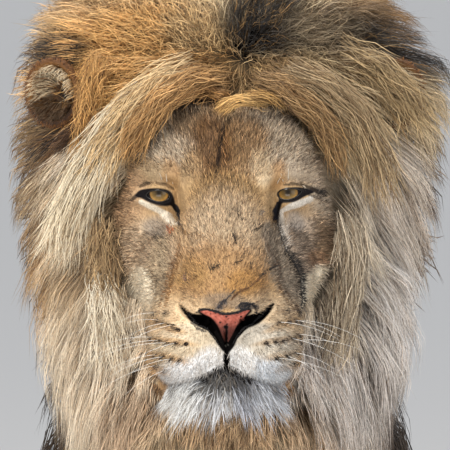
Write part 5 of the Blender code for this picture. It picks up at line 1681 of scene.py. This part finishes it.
def growMarks():
    # short dark hairs laid end to end on the coat, where a line or a spot has to stay crisp
    rng = np.random.default_rng(67)
    tree = formTree(inner)
    lines = list(faceMarks)
    for side in (1, -1):
        lines += [("#21150e", 0.9, (x - 1.0, u), (x + 1.0, u)) for x, u in whiskerRows[side]]
    spines, tints, widths = [], [], []
    for code, half, *path in lines:
        path = np.array(path, dtype=float)
        steps = np.append(0, np.cumsum(np.hypot(*np.diff(path, axis=0).T)))
        for spot in np.repeat(np.arange(0, steps[-1], 0.8), max(1, round(half / 0.35))):
            x, u = (np.interp(spot + rng.uniform(0, 0.6), steps, path[:, k]) for k in (0, 1))
            ahead = [np.interp(spot + 1.0, steps, path[:, k]) - np.interp(spot, steps, path[:, k]) for k in (0, 1)]
            x, u = x + rng.normal(0, half * 0.45), u + rng.normal(0, half * 0.45)
            near = onSkin(tree, x, u)
            if near is None:
                continue
            run = unit(np.array((*ahead, 0.0)) + rng.normal(0, 0.2, 3)) * rng.uniform(1.4, 2.6) / 1000
            start = near + faceOut * rng.uniform(0.0008, 0.0020) * min(1, half + 0.3)
            spines.append((start, start + run @ faceBasis))
            tints.append(hexToLinear(code))
            widths.append(markWidth * rng.uniform(0.7, 1.3))
    spine = np.array(spines)
    run = unit(spine[:, 1] - spine[:, 0])
    side = unit(np.cross(run, faceOut))
    up = np.cross(side, run)
    up = np.where((up @ faceOut)[:, None] < 0, -up, up)
    tint = np.repeat(np.array(tints)[:, None], 2, 1)
    hairPieces("faceMarks", "short", spine, side, up, np.array(widths), (1.0,), tint,
               0.5 + rng.normal(0, 0.02, (len(spine), 2)))


growMarks()
growBeard()
growWhiskers()
print("beard and whiskers")


studioLights = (
    # name, place from the eyes in metres, width and height, watts, colour
    ("keyLight", (-1.7, -2.6, 3.3), (1.8, 1.8), 160, (1.0, 0.95, 0.87)),
    ("fillLight", (2.6, -3.4, 0.8), (2.5, 2.5), 45, (0.93, 0.96, 1.0)),
    ("lowFill", (-0.7, -3.0, -0.6), (2.4, 0.9), 38, (1.0, 0.98, 0.95)),
    ("topLight", (-0.4, 0.6, 3.0), (2.6, 2.6), 70, (1.0, 0.97, 0.93)),
)
view = {"distance": 4.5, "above": 4.5, "aimBelowEyes": 0.031, "frameWidth": 0.4508}  # metres; above is in degrees


def buildStudio():
    floor = bmesh.new()
    bmesh.ops.create_grid(floor, x_segments=1, y_segments=1, size=120)
    ground = meshObject("studioFloor", floor)
    material, tree = newMaterial("studioFloorPaintMatte")
    body = addNode(tree, "ShaderNodeBsdfPrincipled", Base_Color_=(0.62, 0.60, 0.57, 1), Roughness_=0.9)
    addNode(tree, "ShaderNodeOutputMaterial", {"Surface": body.outputs[0]})
    ground.data.materials.append(material)
    world = bpy.data.worlds.new("studioWorld")
    world.use_nodes = True
    sky = world.node_tree.nodes["Background"]
    sky.inputs["Color"].default_value = (0.86, 0.90, 0.97, 1)
    sky.inputs["Strength"].default_value = 0.85
    bpy.context.scene.world = world
    for name, place, size, power, colour in studioLights:
        light = bpy.data.lights.new(name, "AREA")
        light.shape = "RECTANGLE"
        light.size, light.size_y = size
        light.energy = power
        light.color = colour
        holder = bpy.data.objects.new(name, light)
        holder.location = Vector(eyeMiddle) + Vector(place)
        holder.rotation_euler = (-Vector(place)).to_track_quat("-Z", "Y").to_euler()
        bpy.context.scene.collection.objects.link(holder)


def buildCamera():
    lens = bpy.data.cameras.new("frontCamera")
    lens.sensor_width = 36
    lens.lens = 36 * view["distance"] / view["frameWidth"]
    lens.clip_end = 400
    holder = bpy.data.objects.new("frontCamera", lens)
    lift = math.radians(view["above"])
    aim = Vector(eyeMiddle) - Vector((0, 0, view["aimBelowEyes"]))
    back = Vector((0, -math.cos(lift), math.sin(lift))) * view["distance"]
    holder.location = aim + back
    holder.rotation_euler = (-back).to_track_quat("-Z", "Y").to_euler()
    bpy.context.scene.collection.objects.link(holder)
    bpy.context.scene.camera = holder


bpy.context.scene.view_settings.view_transform = "Standard"  # colours show as they are named
print("studio")
buildStudio()
buildCamera()
